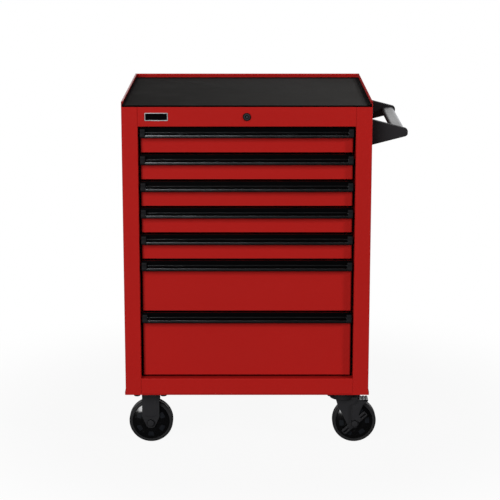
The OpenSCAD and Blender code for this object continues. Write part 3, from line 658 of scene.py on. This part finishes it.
def grip_black(finish):
    """Black anodised bar: lines drawn along it, polished by hands on its top and outer side, and a
    painted highlight, much paler, along its outer edge."""
    black = colours().grip
    low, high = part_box("handle_bar")
    lines = finish.noise(1300, 3, (1, 0.004, 1))
    handled = finish.patches(8, 3, 0.42, 0.7)
    polish = finish.along("X", low.x + 0.003, low.x + 0.009) * (0.85 + 0.15 * handled)
    # painted highlight: the bar much paler towards its outer edge
    bare = finish.along("X", high.x - 0.012, high.x - 0.001)
    base = finish.mix(lines, black * 0.7, black * 1.3)
    base = finish.mix(bare * 0.6, base, black * 40)
    gloss = 0.6 - 0.08 * handled + 0.1 * lines
    finish.surface(base, gloss, lines, 0.006, Specular_IOR_Level=0.05, Coat_Weight=polish,
                   Coat_Roughness=0.28)


def painted_steel(finish):
    """Black paint on pressed steel: slight orange peel, scuffs that show a paler undercoat."""
    black = colours().steel
    scuff = finish.patches(160, 6, 0.62, 0.70) * finish.patches(18, 3, 0.5, 0.7)
    base = finish.mix(finish.noise(12, 4), black * 0.82, black * 1.12)
    base = finish.mix(scuff * 0.35, base, black * 2.2)
    gloss = 0.4 + 0.1 * finish.noise(30, 3) + 0.15 * scuff
    peel = finish.noise(500, 2) + 0.6 * finish.noise(120, 1)
    finish.surface(base, gloss, peel, 0.03, Specular_IOR_Level=0.15)


def lock_metal(finish):
    """Lock: grey face with a worn middle, and painted shade, near black, in the keyway and on the
    outer bevel. The bands go by the distance from the lock's axis."""
    grey = colours().steel
    low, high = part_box("lock_plug")
    centre = (low + high) / 2
    across, up = (finish.part(finish.spot(), axis) for axis in "XZ")
    away = ((across - centre.x) ** 2 + (up - centre.z) ** 2) ** 0.5
    face = finish.ramp(away, 0.0020, 0.0024)
    # painted shade in the keyway's recess
    keyway = face * finish.ramp(away, 0.0055, 0.0050)
    bevel = finish.ramp(away, 0.0088, 0.0092)
    grain = finish.noise(900, 3)
    base = finish.mix(face, grey * 3.4, grey * 1.7)
    base = finish.mix(grain * 0.3, base, grey * 0.8)
    # painted shade: keyway and outer bevel near black
    base = finish.mix(keyway + bevel, base, grey * 0.05)
    finish.surface(base, 0.42 + 0.12 * grain, grain, 0.02, Specular_IOR_Level=0.1)


def tyre_rubber(finish):
    """Tread rubber: fine moulding grain and grey dust."""
    black = colours().tyre
    dust = finish.patches(45, 6, 0.5, 0.72)
    base = finish.mix(finish.noise(20, 3), black * 0.8, black * 1.1)
    base = finish.mix(dust * 0.35, base, black * 1.7)
    gloss = 0.42 + 0.16 * dust + 0.08 * finish.noise(60, 2)
    finish.surface(base, gloss, finish.noise(1400, 2), 0.05, Specular_IOR_Level=0.1)


def core_plastic(finish):
    """Glossy moulded core: faint flow marks and a little dust."""
    black = colours().core
    flow = finish.noise(35, 4)
    dust = finish.patches(90, 6, 0.58, 0.76)
    base = finish.mix(flow, black * 0.6, black * 1.3)
    base = finish.mix(dust * 0.4, base, black * 2.6)
    finish.surface(base, 0.14 + 0.06 * flow + 0.25 * dust, finish.noise(120, 3), 0.02, IOR=1.75)


def pad_plastic(finish):
    """Matt moulded pads: fine grain and a little dust."""
    black = colours().pad
    grain = finish.noise(1500, 2)
    dust = finish.patches(90, 6, 0.5, 0.75)
    base = finish.mix(grain, black * 0.8, black * 1.1)
    base = finish.mix(dust * 0.3, base, black * 1.6)
    finish.surface(base, 0.5 + 0.15 * dust, grain, 0.04, Specular_IOR_Level=0.12)


def tread_painted_reflection(finish):
    """Pedal ribs painted grey, a painted reflection of the pale surroundings, broken by black
    patches.
    """
    black, grey = colours().steel, colours().zinc
    lines = finish.noise(700, 3, (1, 0.1, 1))
    black_patches = finish.ramp(finish.noise(240, 5) + 0.4 * lines, 0.52, 0.72)
    # painted reflection: the ribs' grey
    base = finish.mix(lines, grey * 0.65, grey * 0.9)
    base = finish.mix(black_patches * 0.6, base, black * 3.0)
    finish.surface(base, 0.42 + 0.2 * black_patches, lines, 0.03, Specular_IOR_Level=0.3)


def black_oxide_and_shade(finish):
    """Near black: black oxide on the axle bolts' shanks and nuts, painted shade on their hex sides
    and in the toe bar's grooves. Dull, with faint turning marks and oily patches.
    """
    black = colours().core
    oily = finish.patches(80, 4, 0.45, 0.7)
    base = finish.mix(finish.noise(300, 3), black * 1.2, black * 2.4)
    finish.surface(base, 0.45 - 0.15 * oily, finish.noise(900, 2), 0.02, Specular_IOR_Level=0.1)


def zinc_plate(finish):
    """Zinc plating: a soft mosaic of crystals, drawing lines and a dull bloom, with painted shade,
    near black, over the first 12 mm behind the slides' front ends."""
    grey = colours().zinc
    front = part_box("cabinet_slides")[0].y
    # painted shade: zinc near the front, inside the gaps, goes near black
    gap_shade = finish.along("Y", front + 0.012, front + 0.013)
    spangle = finish.cells(160)
    lines = finish.noise(900, 2, (1, 0.01, 1))
    bloom = finish.patches(18, 5, 0.5, 0.75)
    base = finish.mix(spangle, grey * 0.74, grey * 1.0)
    base = finish.mix(bloom * 0.5, base, grey * 0.6)
    base = finish.mix(gap_shade, grey * 0.02, base)
    finish.surface(base, 0.28 + 0.1 * spangle + 0.2 * bloom, lines, 0.01, Metallic=1.0)


def bright_metal(finish):
    """Polished frame: fine brushing and small tarnished spots."""
    silver = colours().bright
    brush = finish.noise(1800, 2, (0.02, 1, 1))
    spots = finish.patches(260, 4, 0.6, 0.75)
    base = finish.mix(brush, silver * 0.86, silver)
    base = finish.mix(spots * 0.3, base, silver * 0.6)
    finish.surface(base, 0.24 + 0.12 * brush + 0.15 * spots, brush, 0.01, Metallic=0.55)


def plate_black(finish):
    """Bare black field: smooth lacquer with faint haze."""
    black = colours().pull
    haze = finish.noise(50, 4)
    base = finish.mix(haze, black * 0.6, black * 1.3)
    finish.surface(base, 0.18 + 0.1 * haze, finish.noise(700, 2), 0.01, Specular_IOR_Level=0.1)


FINISHES = {}


def finish_of(recipe):
    """The material of a recipe, made once."""
    if recipe.__name__ not in FINISHES:
        material = bpy.data.materials.new(recipe.__name__)
        recipe(Finish(material))
        FINISHES[recipe.__name__] = material
    return FINISHES[recipe.__name__]


# Operators, one for each piece or group of like pieces


class CABINET_OT_carcass(bpy.types.Operator):
    """Enamel on the shell, top, base, rails and uprights, and the welded rear corners of the rim"""

    bl_idname = "cabinet.carcass"
    bl_label = "Carcass"

    def execute(self, context):
        sheets = ["cabinet_shell", "top_panel", "bottom_panel", "bottom_rail", "slide_uprights"]
        paint(sheets, enamel)
        corner = [(-RIM_FOLD, -RIM_CORNER), (0, -RIM_CORNER), (0, 0), (-RIM_CORNER, 0),
                  (-RIM_CORNER, -RIM_FOLD), (-RIM_FOLD, -RIM_FOLD)]
        x, y, z = box_mm("cabinet_shell")[1] - RIM_SET_IN
        side = soft_edges(RIM_LIP, 0, 0.6)
        rings = plate_rings(np.array(corner) + (x, y), side, z - RIM_LIP, "z")
        piece("rim_corners", both_sides(rings), "cabinet", enamel)
        return {"FINISHED"}


class CABINET_OT_drawers(bpy.types.Operator):
    """Enamel on the drawer boxes, and the rivets that hold their slides"""

    bl_idname = "cabinet.drawers"
    bl_label = "Drawers"

    def execute(self, context):
        radius = sizes().rivet_r * 1000
        for k in DRAWERS:
            paint([f"drawer_{k}_box"], drawer_enamel)
            low, high = box_mm(f"drawer_{k}_slide_inner")
            wall, middle = high[0] - RIVET_IN, (low + high)[2] / 2
            heads = []
            for side in (-1, 1):
                for y in low[1] + (high - low)[1] * np.array(RIVET_SHARES):
                    heads.append(dome(radius, RIVET_HEAD, (side * wall, y, middle), "x", -side))
            piece(f"drawer_{k}_rivets", heads, f"drawer_{k}", zinc_plate)
        return {"FINISHED"}


class CABINET_OT_slides(bpy.types.Operator):
    """Zinc on the telescopic slides"""

    bl_idname = "cabinet.slides"
    bl_label = "Slides"

    def execute(self, context):
        members = [f"drawer_{k}_slide_{part}" for k in DRAWERS for part in ("inner", "middle")]
        paint(["cabinet_slides", *members], zinc_plate)
        return {"FINISHED"}


class CABINET_OT_lock(bpy.types.Operator):
    """Lock face with its dished ring, turning plug with a round keyway, plated lock works"""

    bl_idname = "cabinet.lock"
    bl_label = "Lock"

    def execute(self, context):
        low, high = box_mm("lock_plug")
        centre = ((low + high)[0] / 2, 0, (low + high)[2] / 2)
        plug_r = (high - low)[0] / 2
        bore, neck = plug_r + 0.05, LOCK_NECK_R
        front, back = (corner[1] for corner in box_mm("lock_barrel"))
        ring = lathe(
            [(bore, back), (bore, -1.3), (bore + 0.3, -1.6), (8.8, -1.6), (9.3, -1.4),
             (9.7, front + 0.3), (10, front), (10.4, front), (LOCK_FACE_R, -2.4), (LOCK_FACE_R, 0),
             (neck, 0), (neck, back)],
            centre, "y", closed=True,
        )
        limit = np.array([neck + 0.05, 13, 14, 14, 13, neck + 0.05])[:, None]
        nut = turned(np.minimum(hexagon(LOCK_NUT_R), limit), [1.2, 1.2, 1.7, 5.6, 6.2, 6.2],
                     centre, "y", closed=True)
        piece("lock_face", [ring, nut], "cabinet", lock_metal, ["lock_barrel"])
        angle = np.arange(96) * 2 * pi / 96
        keyway = np.where(np.abs(angle - pi / 2) < 0.2, 5.3, 4.5)
        radii = [2.2, 2.5, 2.5, keyway, keyway, 5.6, plug_r - 0.2, plug_r, plug_r]
        radii = np.stack([np.broadcast_to(r, 96) for r in radii])
        along = low[1] + np.array([0.1, 0.4, 4, 4, 0.2, 0, 0.1, 0.5, (high - low)[1]])
        plug = turned(radii, along, centre, "y")
        piece("lock_plug_face", [plug], "lock", lock_metal, ["lock_plug"])
        paint(["lock_shaft", "lock_bar", "lock_guides"], zinc_plate)
        return {"FINISHED"}


class CABINET_OT_bare_plate(bpy.types.Operator):
    """Bare black plate with a bright half-round frame on the top rail"""

    bl_idname = "cabinet.bare_plate"
    bl_label = "Bare plate"

    def execute(self, context):
        form = sizes()
        width, height, band = (1000 * v for v in (form.plate_w, form.plate_h, form.plate_frame))
        outline = rounded_box(width, height, 2.4, (BARE_PLATE_X, middle_mm("lock_plug")[2]))
        a = np.linspace(0, pi, 9)
        crest = np.stack([band / 2 * (1 - np.cos(a)), -0.6 - 1.2 * np.sin(a)], 1)
        section = [(0, 0), *crest, (band, 0)]
        strip = frame_strip(outline, section, 0, "y")
        piece("plate_frame", [strip], "cabinet", bright_metal)
        field = plate(inset(outline, band - 0.4), [(0, 0), (0, -0.7)], 0, "y")
        piece("plate_field", [field], "cabinet", plate_black)
        return {"FINISHED"}


class CABINET_OT_mat(bpy.types.Operator):
    """Rubber mat with a soft upper edge, tucked under the fold of the rim"""

    bl_idname = "cabinet.mat"
    bl_label = "Mat"

    def execute(self, context):
        low, high = box_mm("top_mat")
        high, low = high + (MAT_TUCK, MAT_TUCK, 0), low - (MAT_TUCK, 0, 0)
        size = high - low
        outline = rounded_box(size[0], size[1], 4, (low + high)[:2] / 2)
        side = soft_edges(size[2], 0.3, sizes().mat_edge * 1000)
        sheet = plate(outline, side, low[2], "z")
        piece("rubber_mat", [sheet], "cabinet", mat_rubber, ["top_mat"])
        return {"FINISHED"}


class CABINET_OT_pulls(bpy.types.Operator):
    """Drawer pulls: one extruded section with a leaning lip, a finger trough and a ridge"""

    bl_idname = "cabinet.pulls"
    bl_label = "Pulls"

    def execute(self, context):
        section = fillet(PULL_SECTION, PULL_RADII, 8) * (-1, 1)
        for k in DRAWERS:
            low, high = box_mm(f"drawer_{k}_pull")
            bar = loft(bar_rings(section + (high[1], low[2]), low[0], high[0], "x"))
            piece(f"pull_{k}", [bar], f"drawer_{k}", anodised,
                  [f"drawer_{k}_pull"])
        return {"FINISHED"}


class CABINET_OT_pull_caps(bpy.types.Operator):
    """Moulded ends of the pulls: rounded, a shallow hollow in front, the pull's wall above"""

    bl_idname = "cabinet.pull_caps"
    bl_label = "Pull caps"

    def execute(self, context):
        section = fillet(CAP_SECTION, CAP_RADII) * (-1, 1)
        wall = fillet(PULL_END_SECTION, PULL_END_RADII) * (-1, 1)
        for k in DRAWERS:
            body, nodes = f"drawer_{k}", [f"drawer_{k}_pull_caps"]
            low, high = box_mm(nodes[0])
            start, back = box_mm(f"drawer_{k}_pull")[1][0], (high[1], low[2])
            side = soft_edges(high[0] - start, 0.3, sizes().cap_edge * 1000)
            caps = both_sides(plate_rings(section + back, side, start, "x"))
            piece(f"pull_caps_{k}", caps, body, cap_plastic, nodes)
            ends = both_sides(bar_rings(wall + back, start, high[0], "x"))
            piece(f"pull_ends_{k}", ends, body, anodised, nodes)
        return {"FINISHED"}


class CABINET_OT_handle(bpy.types.Operator):
    """Push handle: two cast brackets with rounded edges, and a flattened bar"""

    bl_idname = "cabinet.handle"
    bl_label = "Handle"

    def execute(self, context):
        low, high = box_mm("handle_brackets")
        reach, half = (high - low)[0], (high - low)[2] / 2
        corners = [(0, -half), (reach, -BRACKET_TIP), (reach, BRACKET_TIP), (0, half)]
        outline = fillet(corners, [0, 9, 9, 0], 14) + (low[0], (low + high)[2] / 2)
        edge = sizes().bracket_edge * 1000
        side = soft_edges(BRACKET_DEPTH, edge, edge, 6)
        arms = [plate(outline, side, y, "y") for y in (low[1], high[1] - BRACKET_DEPTH)]
        piece("handle_arms", arms, "cabinet", cast_black, ["handle_brackets"])
        low, high = box_mm("handle_bar")
        width, height = (high - low)[[0, 2]] / BAR_STRETCH
        flat = rounded_box(width, height, BAR_ROUND, steps=12) * BAR_STRETCH
        flat = flat + ((low + high) / 2)[[0, 2]]
        bar = loft(bar_rings(flat, low[1], high[1], "y"))
        piece("handle_grip", [bar], "cabinet", grip_black, ["handle_bar"])
        return {"FINISHED"}


def caster_plate(x, y):
    """Square plate with rounded corners and edges under the base."""
    outline = rounded_box(CASTER_PLATE, CASTER_PLATE, CASTER_CORNER, (x, y))
    return plate(outline, soft_edges(PLATE_SHEET, sizes().plate_edge * 1000, 0.2), PLATE, "z")


def axle_bolt(centre, head):
    """Axle bolt: hexagonal head in front with a corner up, plain shank, nut and threaded end."""
    x, y, z = centre
    nut = AXLE_NUT + AXLE_HEAD - 1
    return [
        hex_head(AXLE_HEAD_R, AXLE_HEAD, (x, y + head, z), "y", -1, pi / 6),
        lathe([(AXLE_R, head), (AXLE_R, AXLE_NUT + 0.2)], centre, "y", 40),
        hex_head(AXLE_HEAD_R, AXLE_HEAD, (x, y + AXLE_NUT, z), "y", 1, pi / 6),
        threaded(AXLE_R, nut, AXLE_END, centre, "y"),
    ]


def axle_face(centre, head):
    """Painted face of the axle bolt's head: a thin hexagon with a corner up, inside the chamfer."""
    x, y, z = centre
    angle = np.arange(6) * pi / 3 + pi / 2
    outline = fillet(np.stack([np.cos(angle), np.sin(angle)], 1) * 9.6 + (x, z), 1.5, 4)
    side = soft_edges(0.5, 0, 0.2) * (1, -1)
    return plate(outline, side, y + head - AXLE_HEAD + 0.4, "y")


class CABINET_OT_rigid_casters(bpy.types.Operator):
    """Rigid casters: plate, and a fork bent from one sheet with a raised panel on each leg"""

    bl_idname = "cabinet.rigid_casters"
    bl_label = "Rigid casters"

    def execute(self, context):
        axle = middle_mm("wheel_front_left")[2]
        tip, knee, half = axle - 16.2, axle + 17.2, 24.5
        corners = [(-half, PLATE), (-half, knee), (-10, tip), (10, tip), (half, knee),
                   (half, PLATE)]
        outline = fillet(corners, [0, 6, 12, 12, 6, 0], 12)

        def rise(x, z):
            inner = smooth_step((20 - np.abs(x)) / 4)
            lower = smooth_step((z - axle - 13.5 - 0.3 * np.abs(x)) / 5)
            return 0.8 * inner * lower * smooth_step((PLATE - 7 - z) / 4)

        for end in ENDS:
            x, y = middle_mm(f"wheel_{end}_left")[:2]
            fork = bent_strap(outline, tip, PLATE - FORK_SHEET / 2, (x, y, 0), rise)
            piece(f"rigid_fork_{end}", [caster_plate(x, y), fork], "cabinet",
                  painted_steel, ["rigid_caster_frames"], bevel=FORK_EDGE)
        return {"FINISHED"}


class CABINET_OT_swivel_casters(bpy.types.Operator):
    """Swivel casters: plate with race and kingpin, bowl-shaped crown with a flange, bent fork"""

    bl_idname = "cabinet.swivel_casters"
    bl_label = "Swivel casters"

    def execute(self, context):
        x, top = middle_mm("swivel_caster_plates")[0], CROWN_SEAT
        tip = middle_mm("wheel_front_right")[2] - 16.8
        corners = [(-24, top), (-17, top - 24), (17.5, tip), (43, tip), (43, top - 12), (38, top)]
        outline = fillet(corners, [0, 6, 11, 11, 4, 0], 12)
        a = np.linspace(0, pi / 2, 7)
        foot = np.stack([36 + 2.5 * np.sin(a), -18.5 - 2.5 * np.cos(a)], 1)
        crown_profile = [(27, -21), *foot, *CROWN_FLANGE, *CROWN_INSIDE]
        for end in ENDS:
            axle = middle_mm(f"wheel_{end}_right")
            y = axle[1]
            centre = (x, y, PLATE)
            race = lathe(RACE_PROFILE, centre, "z", closed=True)
            pin = lathe(KINGPIN_PROFILE, centre, "z", 48)
            piece(f"swivel_plate_{end}", [caster_plate(x, y), race, pin], "cabinet",
                  painted_steel, ["swivel_caster_plates"])
            body, nodes = f"swivel_{end}", [f"swivel_fork_{end}"]
            crown = lathe(crown_profile, centre, "z", closed=True)
            fork = bent_strap(outline, tip, top - FORK_SHEET / 2, (x, y, 0))
            piece(f"swivel_fork_body_{end}", [crown, fork], body, painted_steel,
                  nodes, bevel=FORK_EDGE)
            bolt, face = axle_bolt(axle, SWIVEL_HEAD), axle_face(axle, SWIVEL_HEAD)
            # the head's near black sides are painted shade; its face carries the paint
            piece(f"swivel_axle_{end}", bolt, body, black_oxide_and_shade, nodes)
            piece(f"swivel_axle_face_{end}", [face], body, painted_steel, nodes)
        return {"FINISHED"}


class CABINET_OT_brakes(bpy.types.Operator):
    """Brake levers: boss, arm with a raised border, toe bar with grooved ends, ribbed foot pedal"""

    bl_idname = "cabinet.brakes"
    bl_label = "Brake levers"

    def execute(self, context):
        turn = spin(TOE_BAR_TURN)
        for end in ENDS:
            x, y, z = centre = middle_mm(f"wheel_{end}_right")
            arm = fillet(ARM_OUTLINE, ARM_RADII, 8) + (x, z)
            toe_bar = rounded_box(*TOE_BAR) @ turn + (x, z)
            pedal = rounded_box(*PEDAL, (x + 23.25, y + PEDAL_Y))
            grooves = []
            levers = [
                plate(arm, soft_edges(4.3, 0.6, 0.6), y - 35.6, "y"),
                frame_strip(arm, ARM_BORDER, y - 36.3, "y"),
                lathe(BOSS_PROFILE, centre, "y", 72, closed=True),
                plate(toe_bar, soft_edges(4.9, 0.6, 0.6), y - 36.2, "y"),
            ]
            for far in (-1, 1):
                for across in (-1, 1):
                    ridge = rounded_box(20, 4.4, 1.8, (far * 31.5, across * 4.6)) @ turn + (x, z)
                    levers.append(plate(ridge, soft_edges(2.6, 0.8, 0), y - 38.3, "y"))
                groove = rounded_box(19, 4.9, 1, (far * 32, 0)) @ turn + (x, z)
                grooves.append(plate(groove, soft_edges(0.6, 0.2, 0), y - 36.5, "y"))
            levers.append(plate(pedal, soft_edges(5, 0.8, 0.8), z + 65.1, "z"))
            bars = [rounded_box(6.4, 33, 1.6, (x + 17 + 8.5 * i, y + PEDAL_Y)) for i in range(3)]
            ribs = [plate(bar, soft_edges(2.4, 0, 1.2), z + 69.7, "z") for bar in bars]
            # grooves: near black strips between the ridges, painted shade; ribs: grey, a painted
            # reflection
            parts = {"pedal": (levers, painted_steel), "grooves": (grooves, black_oxide_and_shade),
                     "ribs": (ribs, tread_painted_reflection)}
            for name, (shells, recipe) in parts.items():
                piece(f"brake_{name}_{end}", shells, f"brake_{end}", recipe,
                      [f"brake_lever_{end}"])
        return {"FINISHED"}


def core_face(radius):
    """Distance of a wheel core's domed face from the wheel's middle: level round the hub, then
    falling with the square of the distance to the tyre."""
    beyond = np.clip(radius - FACE_START, 0, None) / (FACE_END - FACE_START)
    return FACE_TOP - FACE_FALL * beyond ** 2


def wheel_core(centre):
    """Core of a wheel about Y. The profile runs from the bore over the hub and the domed face down
    to the tyre, and back on the other side."""
    radius = np.linspace(FACE_START, FACE_END, 19)
    face = np.concatenate([HUB_PROFILE, np.stack([radius, core_face(radius)], 1)])
    return lathe(np.concatenate([face, face[::-1] * (1, -1)]), centre, "y", 144, closed=True)


def wheel_pads(centre, turn):
    """Pads round both faces of a wheel's core: one rounded outline turned by equal angles, whose
    insets follow the dome at each height above it."""
    outline = fillet(PAD_OUTLINE, 3, 5)
    count = sizes().pad_count
    shells = []
    for angle in turn + np.arange(count) * 2 * pi / count:
        loops = np.stack([inset(outline @ spin(angle), d) for d, _ in PAD_SIDE])
        height = core_face(np.linalg.norm(loops, axis=-1)) + [[h] for _, h in PAD_SIDE]
        shells += [loft(in_space(loops, facing * height, "y") + centre) for facing in (-1, 1)]
    return shells


class CABINET_OT_wheels(bpy.types.Operator):
    """Wheels: tyre with a parting line, glossy core that bulges out, matt pads on its faces"""

    bl_idname = "cabinet.wheels"
    bl_label = "Wheels"

    def execute(self, context):
        low, high = box_mm("wheel_front_left")
        r = (high - low)[2] / 2
        inner, half = r - TYRE_DEPTH, TYRE_HALF
        corners = [(inner, -half), (r, -half), (r, half), (inner, half)]
        section = fillet(corners, [0.8, TYRE_SHOULDER, TYRE_SHOULDER, 0.8], 10)
        place = int(np.argmax((section[:, 0] > r - 0.1) & (section[:, 1] > 0)))
        line = [(r, -0.5), (r - 0.2, -0.15), (r - 0.2, 0.15), (r, 0.5)]
        section = np.insert(section, place, line, axis=0)
        for end in ENDS:
            for side, turn in PAD_TURNS.items():
                name = f"wheel_{end}_{side}"
                centre = middle_mm(name)
                parts = {"tyre": ([lathe(section, centre, "y", 144, closed=True)], tyre_rubber),
                         "core": ([wheel_core(centre)], core_plastic),
                         "pads": (wheel_pads(centre, turn), pad_plastic)}
                for part, (shells, recipe) in parts.items():
                    piece(f"{part}_{end}_{side}", shells, name, recipe, [name])
        return {"FINISHED"}


class CABINET_OT_bolts(bpy.types.Operator):
    """Caster bolts with nuts inside the base, and the axle bolts of the rigid casters"""

    bl_idname = "cabinet.bolts"
    bl_label = "Bolts"

    def execute(self, context):
        swivel_x = middle_mm("swivel_caster_plates")[0]
        nodes = ["caster_bolts"]
        for end in ENDS:
            axle = middle_mm(f"wheel_{end}_left")
            shells = []
            for x in (axle[0] - BOLT_REACH, axle[0] + BOLT_REACH, swivel_x - BOLT_REACH,
                      swivel_x + BOLT_REACH):
                for y in (axle[1] - BOLT_REACH, axle[1] + BOLT_REACH):
                    shells += [
                        hex_head(CASTER_HEAD_R, CASTER_HEAD, (x, y, PLATE), "z", -1),
                        hex_head(CASTER_HEAD_R, CASTER_HEAD, (x, y, BASE + 2), "z", 1),
                        threaded(CASTER_BOLT_R, BASE + 7.8, BASE + 8.4, (x, y, 0), "z"),
                    ]
            piece(f"caster_bolts_{end}", shells, "cabinet", painted_steel, nodes)
            bolt, face = axle_bolt(axle, RIGID_HEAD), axle_face(axle, RIGID_HEAD)
            # the head's near black sides are painted shade; its face carries the paint
            piece(f"rigid_axle_{end}", bolt, "cabinet", black_oxide_and_shade, nodes)
            piece(f"rigid_axle_face_{end}", [face], "cabinet", painted_steel, nodes)
        return {"FINISHED"}


class CABINET_OT_stage(bpy.types.Operator):
    """Pale floor, white surroundings, two lamps and the camera"""

    bl_idname = "cabinet.stage"
    bl_label = "Stage"

    def execute(self, context):
        scene = context.scene
        stage = scene.cabinet_stage
        scene.view_settings.view_transform = "Standard"
        self.floor(stage)
        self.surroundings(scene, stage)
        self.lamp("key_lamp", -26, 21, stage.key_power, 8.4, 7.5)
        self.lamp("side_lamp", 59, 26, stage.side_power, 1.5, 1.5).visible_glossy = False
        data = bpy.data.cameras.new("camera")
        data.lens = stage.camera_lens
        data.sensor_width = 36
        camera = linked("camera", data)
        camera.location = stage.camera_place
        camera.rotation_euler = (pi / 2 - stage.camera_tilt, 0, 0)
        scene.camera = camera
        return {"FINISHED"}

    @staticmethod
    def rays(finish):
        """Whether a camera, glossy or transmitted ray meets the surface."""
        path = finish.node("ShaderNodeLightPath").outputs
        return (Value(finish, path[f"Is {kind} Ray"])
                for kind in ("Camera", "Glossy", "Transmission"))

    def floor(self, stage):
        """Large square at floor level. Camera and transmitted rays see it white, with a share of
        shadow near the cabinet; reflections see it dim under the cabinet and in front."""
        corners = [(x * FLOOR_HALF, y * FLOOR_HALF, 0)
                   for x, y in ((-1, -1), (1, -1), (1, 1), (-1, 1))]
        mesh = bpy.data.meshes.new("floor")
        mesh.from_pydata(corners, [], [(0, 1, 2, 3)])
        made = linked("floor", mesh)
        material = bpy.data.materials.new("pale_floor")
        finish = Finish(material)
        camera, mirror, through = self.rays(finish)
        spot = finish.spot()
        away = finish.node("ShaderNodeVectorMath", {"operation": "LENGTH"}, {0: spot})
        shade = stage.floor_shade * (1 - finish.ramp(away.outputs["Value"], 0.55, 1.3))
        behind = DIM + (1 - DIM) * finish.along("Y", 0.3, 0.9)
        pale = finish.node("ShaderNodeBsdfDiffuse", inputs={"Color": (0.35, 0.35, 0.35, 1)})
        seen = finish.mix(camera + through + mirror * behind, (0, 0, 0), (1, 1, 1))
        white = finish.node("ShaderNodeEmission", inputs={"Color": seen})
        bright = (camera + mirror + through) * (1 - shade)
        inputs = {0: bright, 1: pale.outputs[0], 2: white.outputs[0]}
        both = finish.node("ShaderNodeMixShader", inputs=inputs)
        finish.node("ShaderNodeOutputMaterial", inputs={"Surface": both.outputs[0]})
        mesh.materials.append(material)

    def surroundings(self, scene, stage):
        """White all round for the camera; white behind and dim in front for reflections; an even
        grey for rough surfaces."""
        world = bpy.data.worlds.new("surroundings")
        scene.world = world
        finish = Finish(world)
        camera, mirror, through = self.rays(finish)
        way = finish.node("ShaderNodeTexCoord").outputs["Generated"]
        behind = DIM + (1 - DIM) * finish.ramp(finish.part(way, "Y"), -0.15, 0.35)
        mirror = mirror + through
        level = camera + mirror * behind + (1 - camera - mirror) * stage.ambient
        light = finish.mix(level, (0, 0, 0), (1, 1, 1))
        sky = finish.node("ShaderNodeBackground", inputs={"Color": light})
        finish.node("ShaderNodeOutputWorld", inputs={"Surface": sky.outputs[0]})

    @staticmethod
    def lamp(name, right, up, energy, width, height):
        """Oval lamp that points at the cabinet's middle, given by its angles to the right and up in
        degrees."""
        data = bpy.data.lights.new(name, "AREA")
        data.shape = "ELLIPSE"
        data.size = width
        data.size_y = height
        data.energy = energy
        made = linked(name, data)
        right, up = radians(right), radians(up)
        way = Vector((sin(right) * cos(up), -cos(right) * cos(up), sin(up)))
        made.location = Vector((0, 0, 0.5)) + LAMP_REACH * way
        made.rotation_euler = (-way).to_track_quat("-Z", "Y").to_euler()
        made.visible_camera = False
        return made


OPERATORS = (
    CABINET_OT_carcass, CABINET_OT_drawers, CABINET_OT_slides, CABINET_OT_lock,
    CABINET_OT_bare_plate, CABINET_OT_mat, CABINET_OT_pulls, CABINET_OT_pull_caps,
    CABINET_OT_handle, CABINET_OT_rigid_casters, CABINET_OT_swivel_casters, CABINET_OT_brakes,
    CABINET_OT_wheels, CABINET_OT_bolts, CABINET_OT_stage,
)
GROUPS = {
    "cabinet_colours": CabinetColours,
    "cabinet_sizes": CabinetSizes,
    "cabinet_stage": CabinetStage,
}


class CABINET_PT_sidebar(bpy.types.Panel):
    """Lists the cabinet's pieces and settings"""

    bl_idname = "CABINET_PT_sidebar"
    bl_label = "Rolling tool cabinet"
    bl_space_type = "VIEW_3D"
    bl_region_type = "UI"
    bl_category = "Cabinet"

    def draw(self, context):
        for operator in OPERATORS:
            self.layout.operator(operator.bl_idname)
        for name, group in GROUPS.items():
            for setting in group.__annotations__:
                self.layout.prop(getattr(context.scene, name), setting)


CLASSES = (*GROUPS.values(), *OPERATORS, CABINET_PT_sidebar)


def register():
    for made in CLASSES:
        bpy.utils.register_class(made)
    for name, group in GROUPS.items():
        setattr(bpy.types.Scene, name, PointerProperty(type=group))


def unregister():
    for name in GROUPS:
        delattr(bpy.types.Scene, name)
    for made in reversed(CLASSES):
        bpy.utils.unregister_class(made)


def main():
    register()
    for operator in OPERATORS:
        area, name = operator.bl_idname.split(".")
        getattr(getattr(bpy.ops, area), name)()


if __name__ == "__main__":
    main()
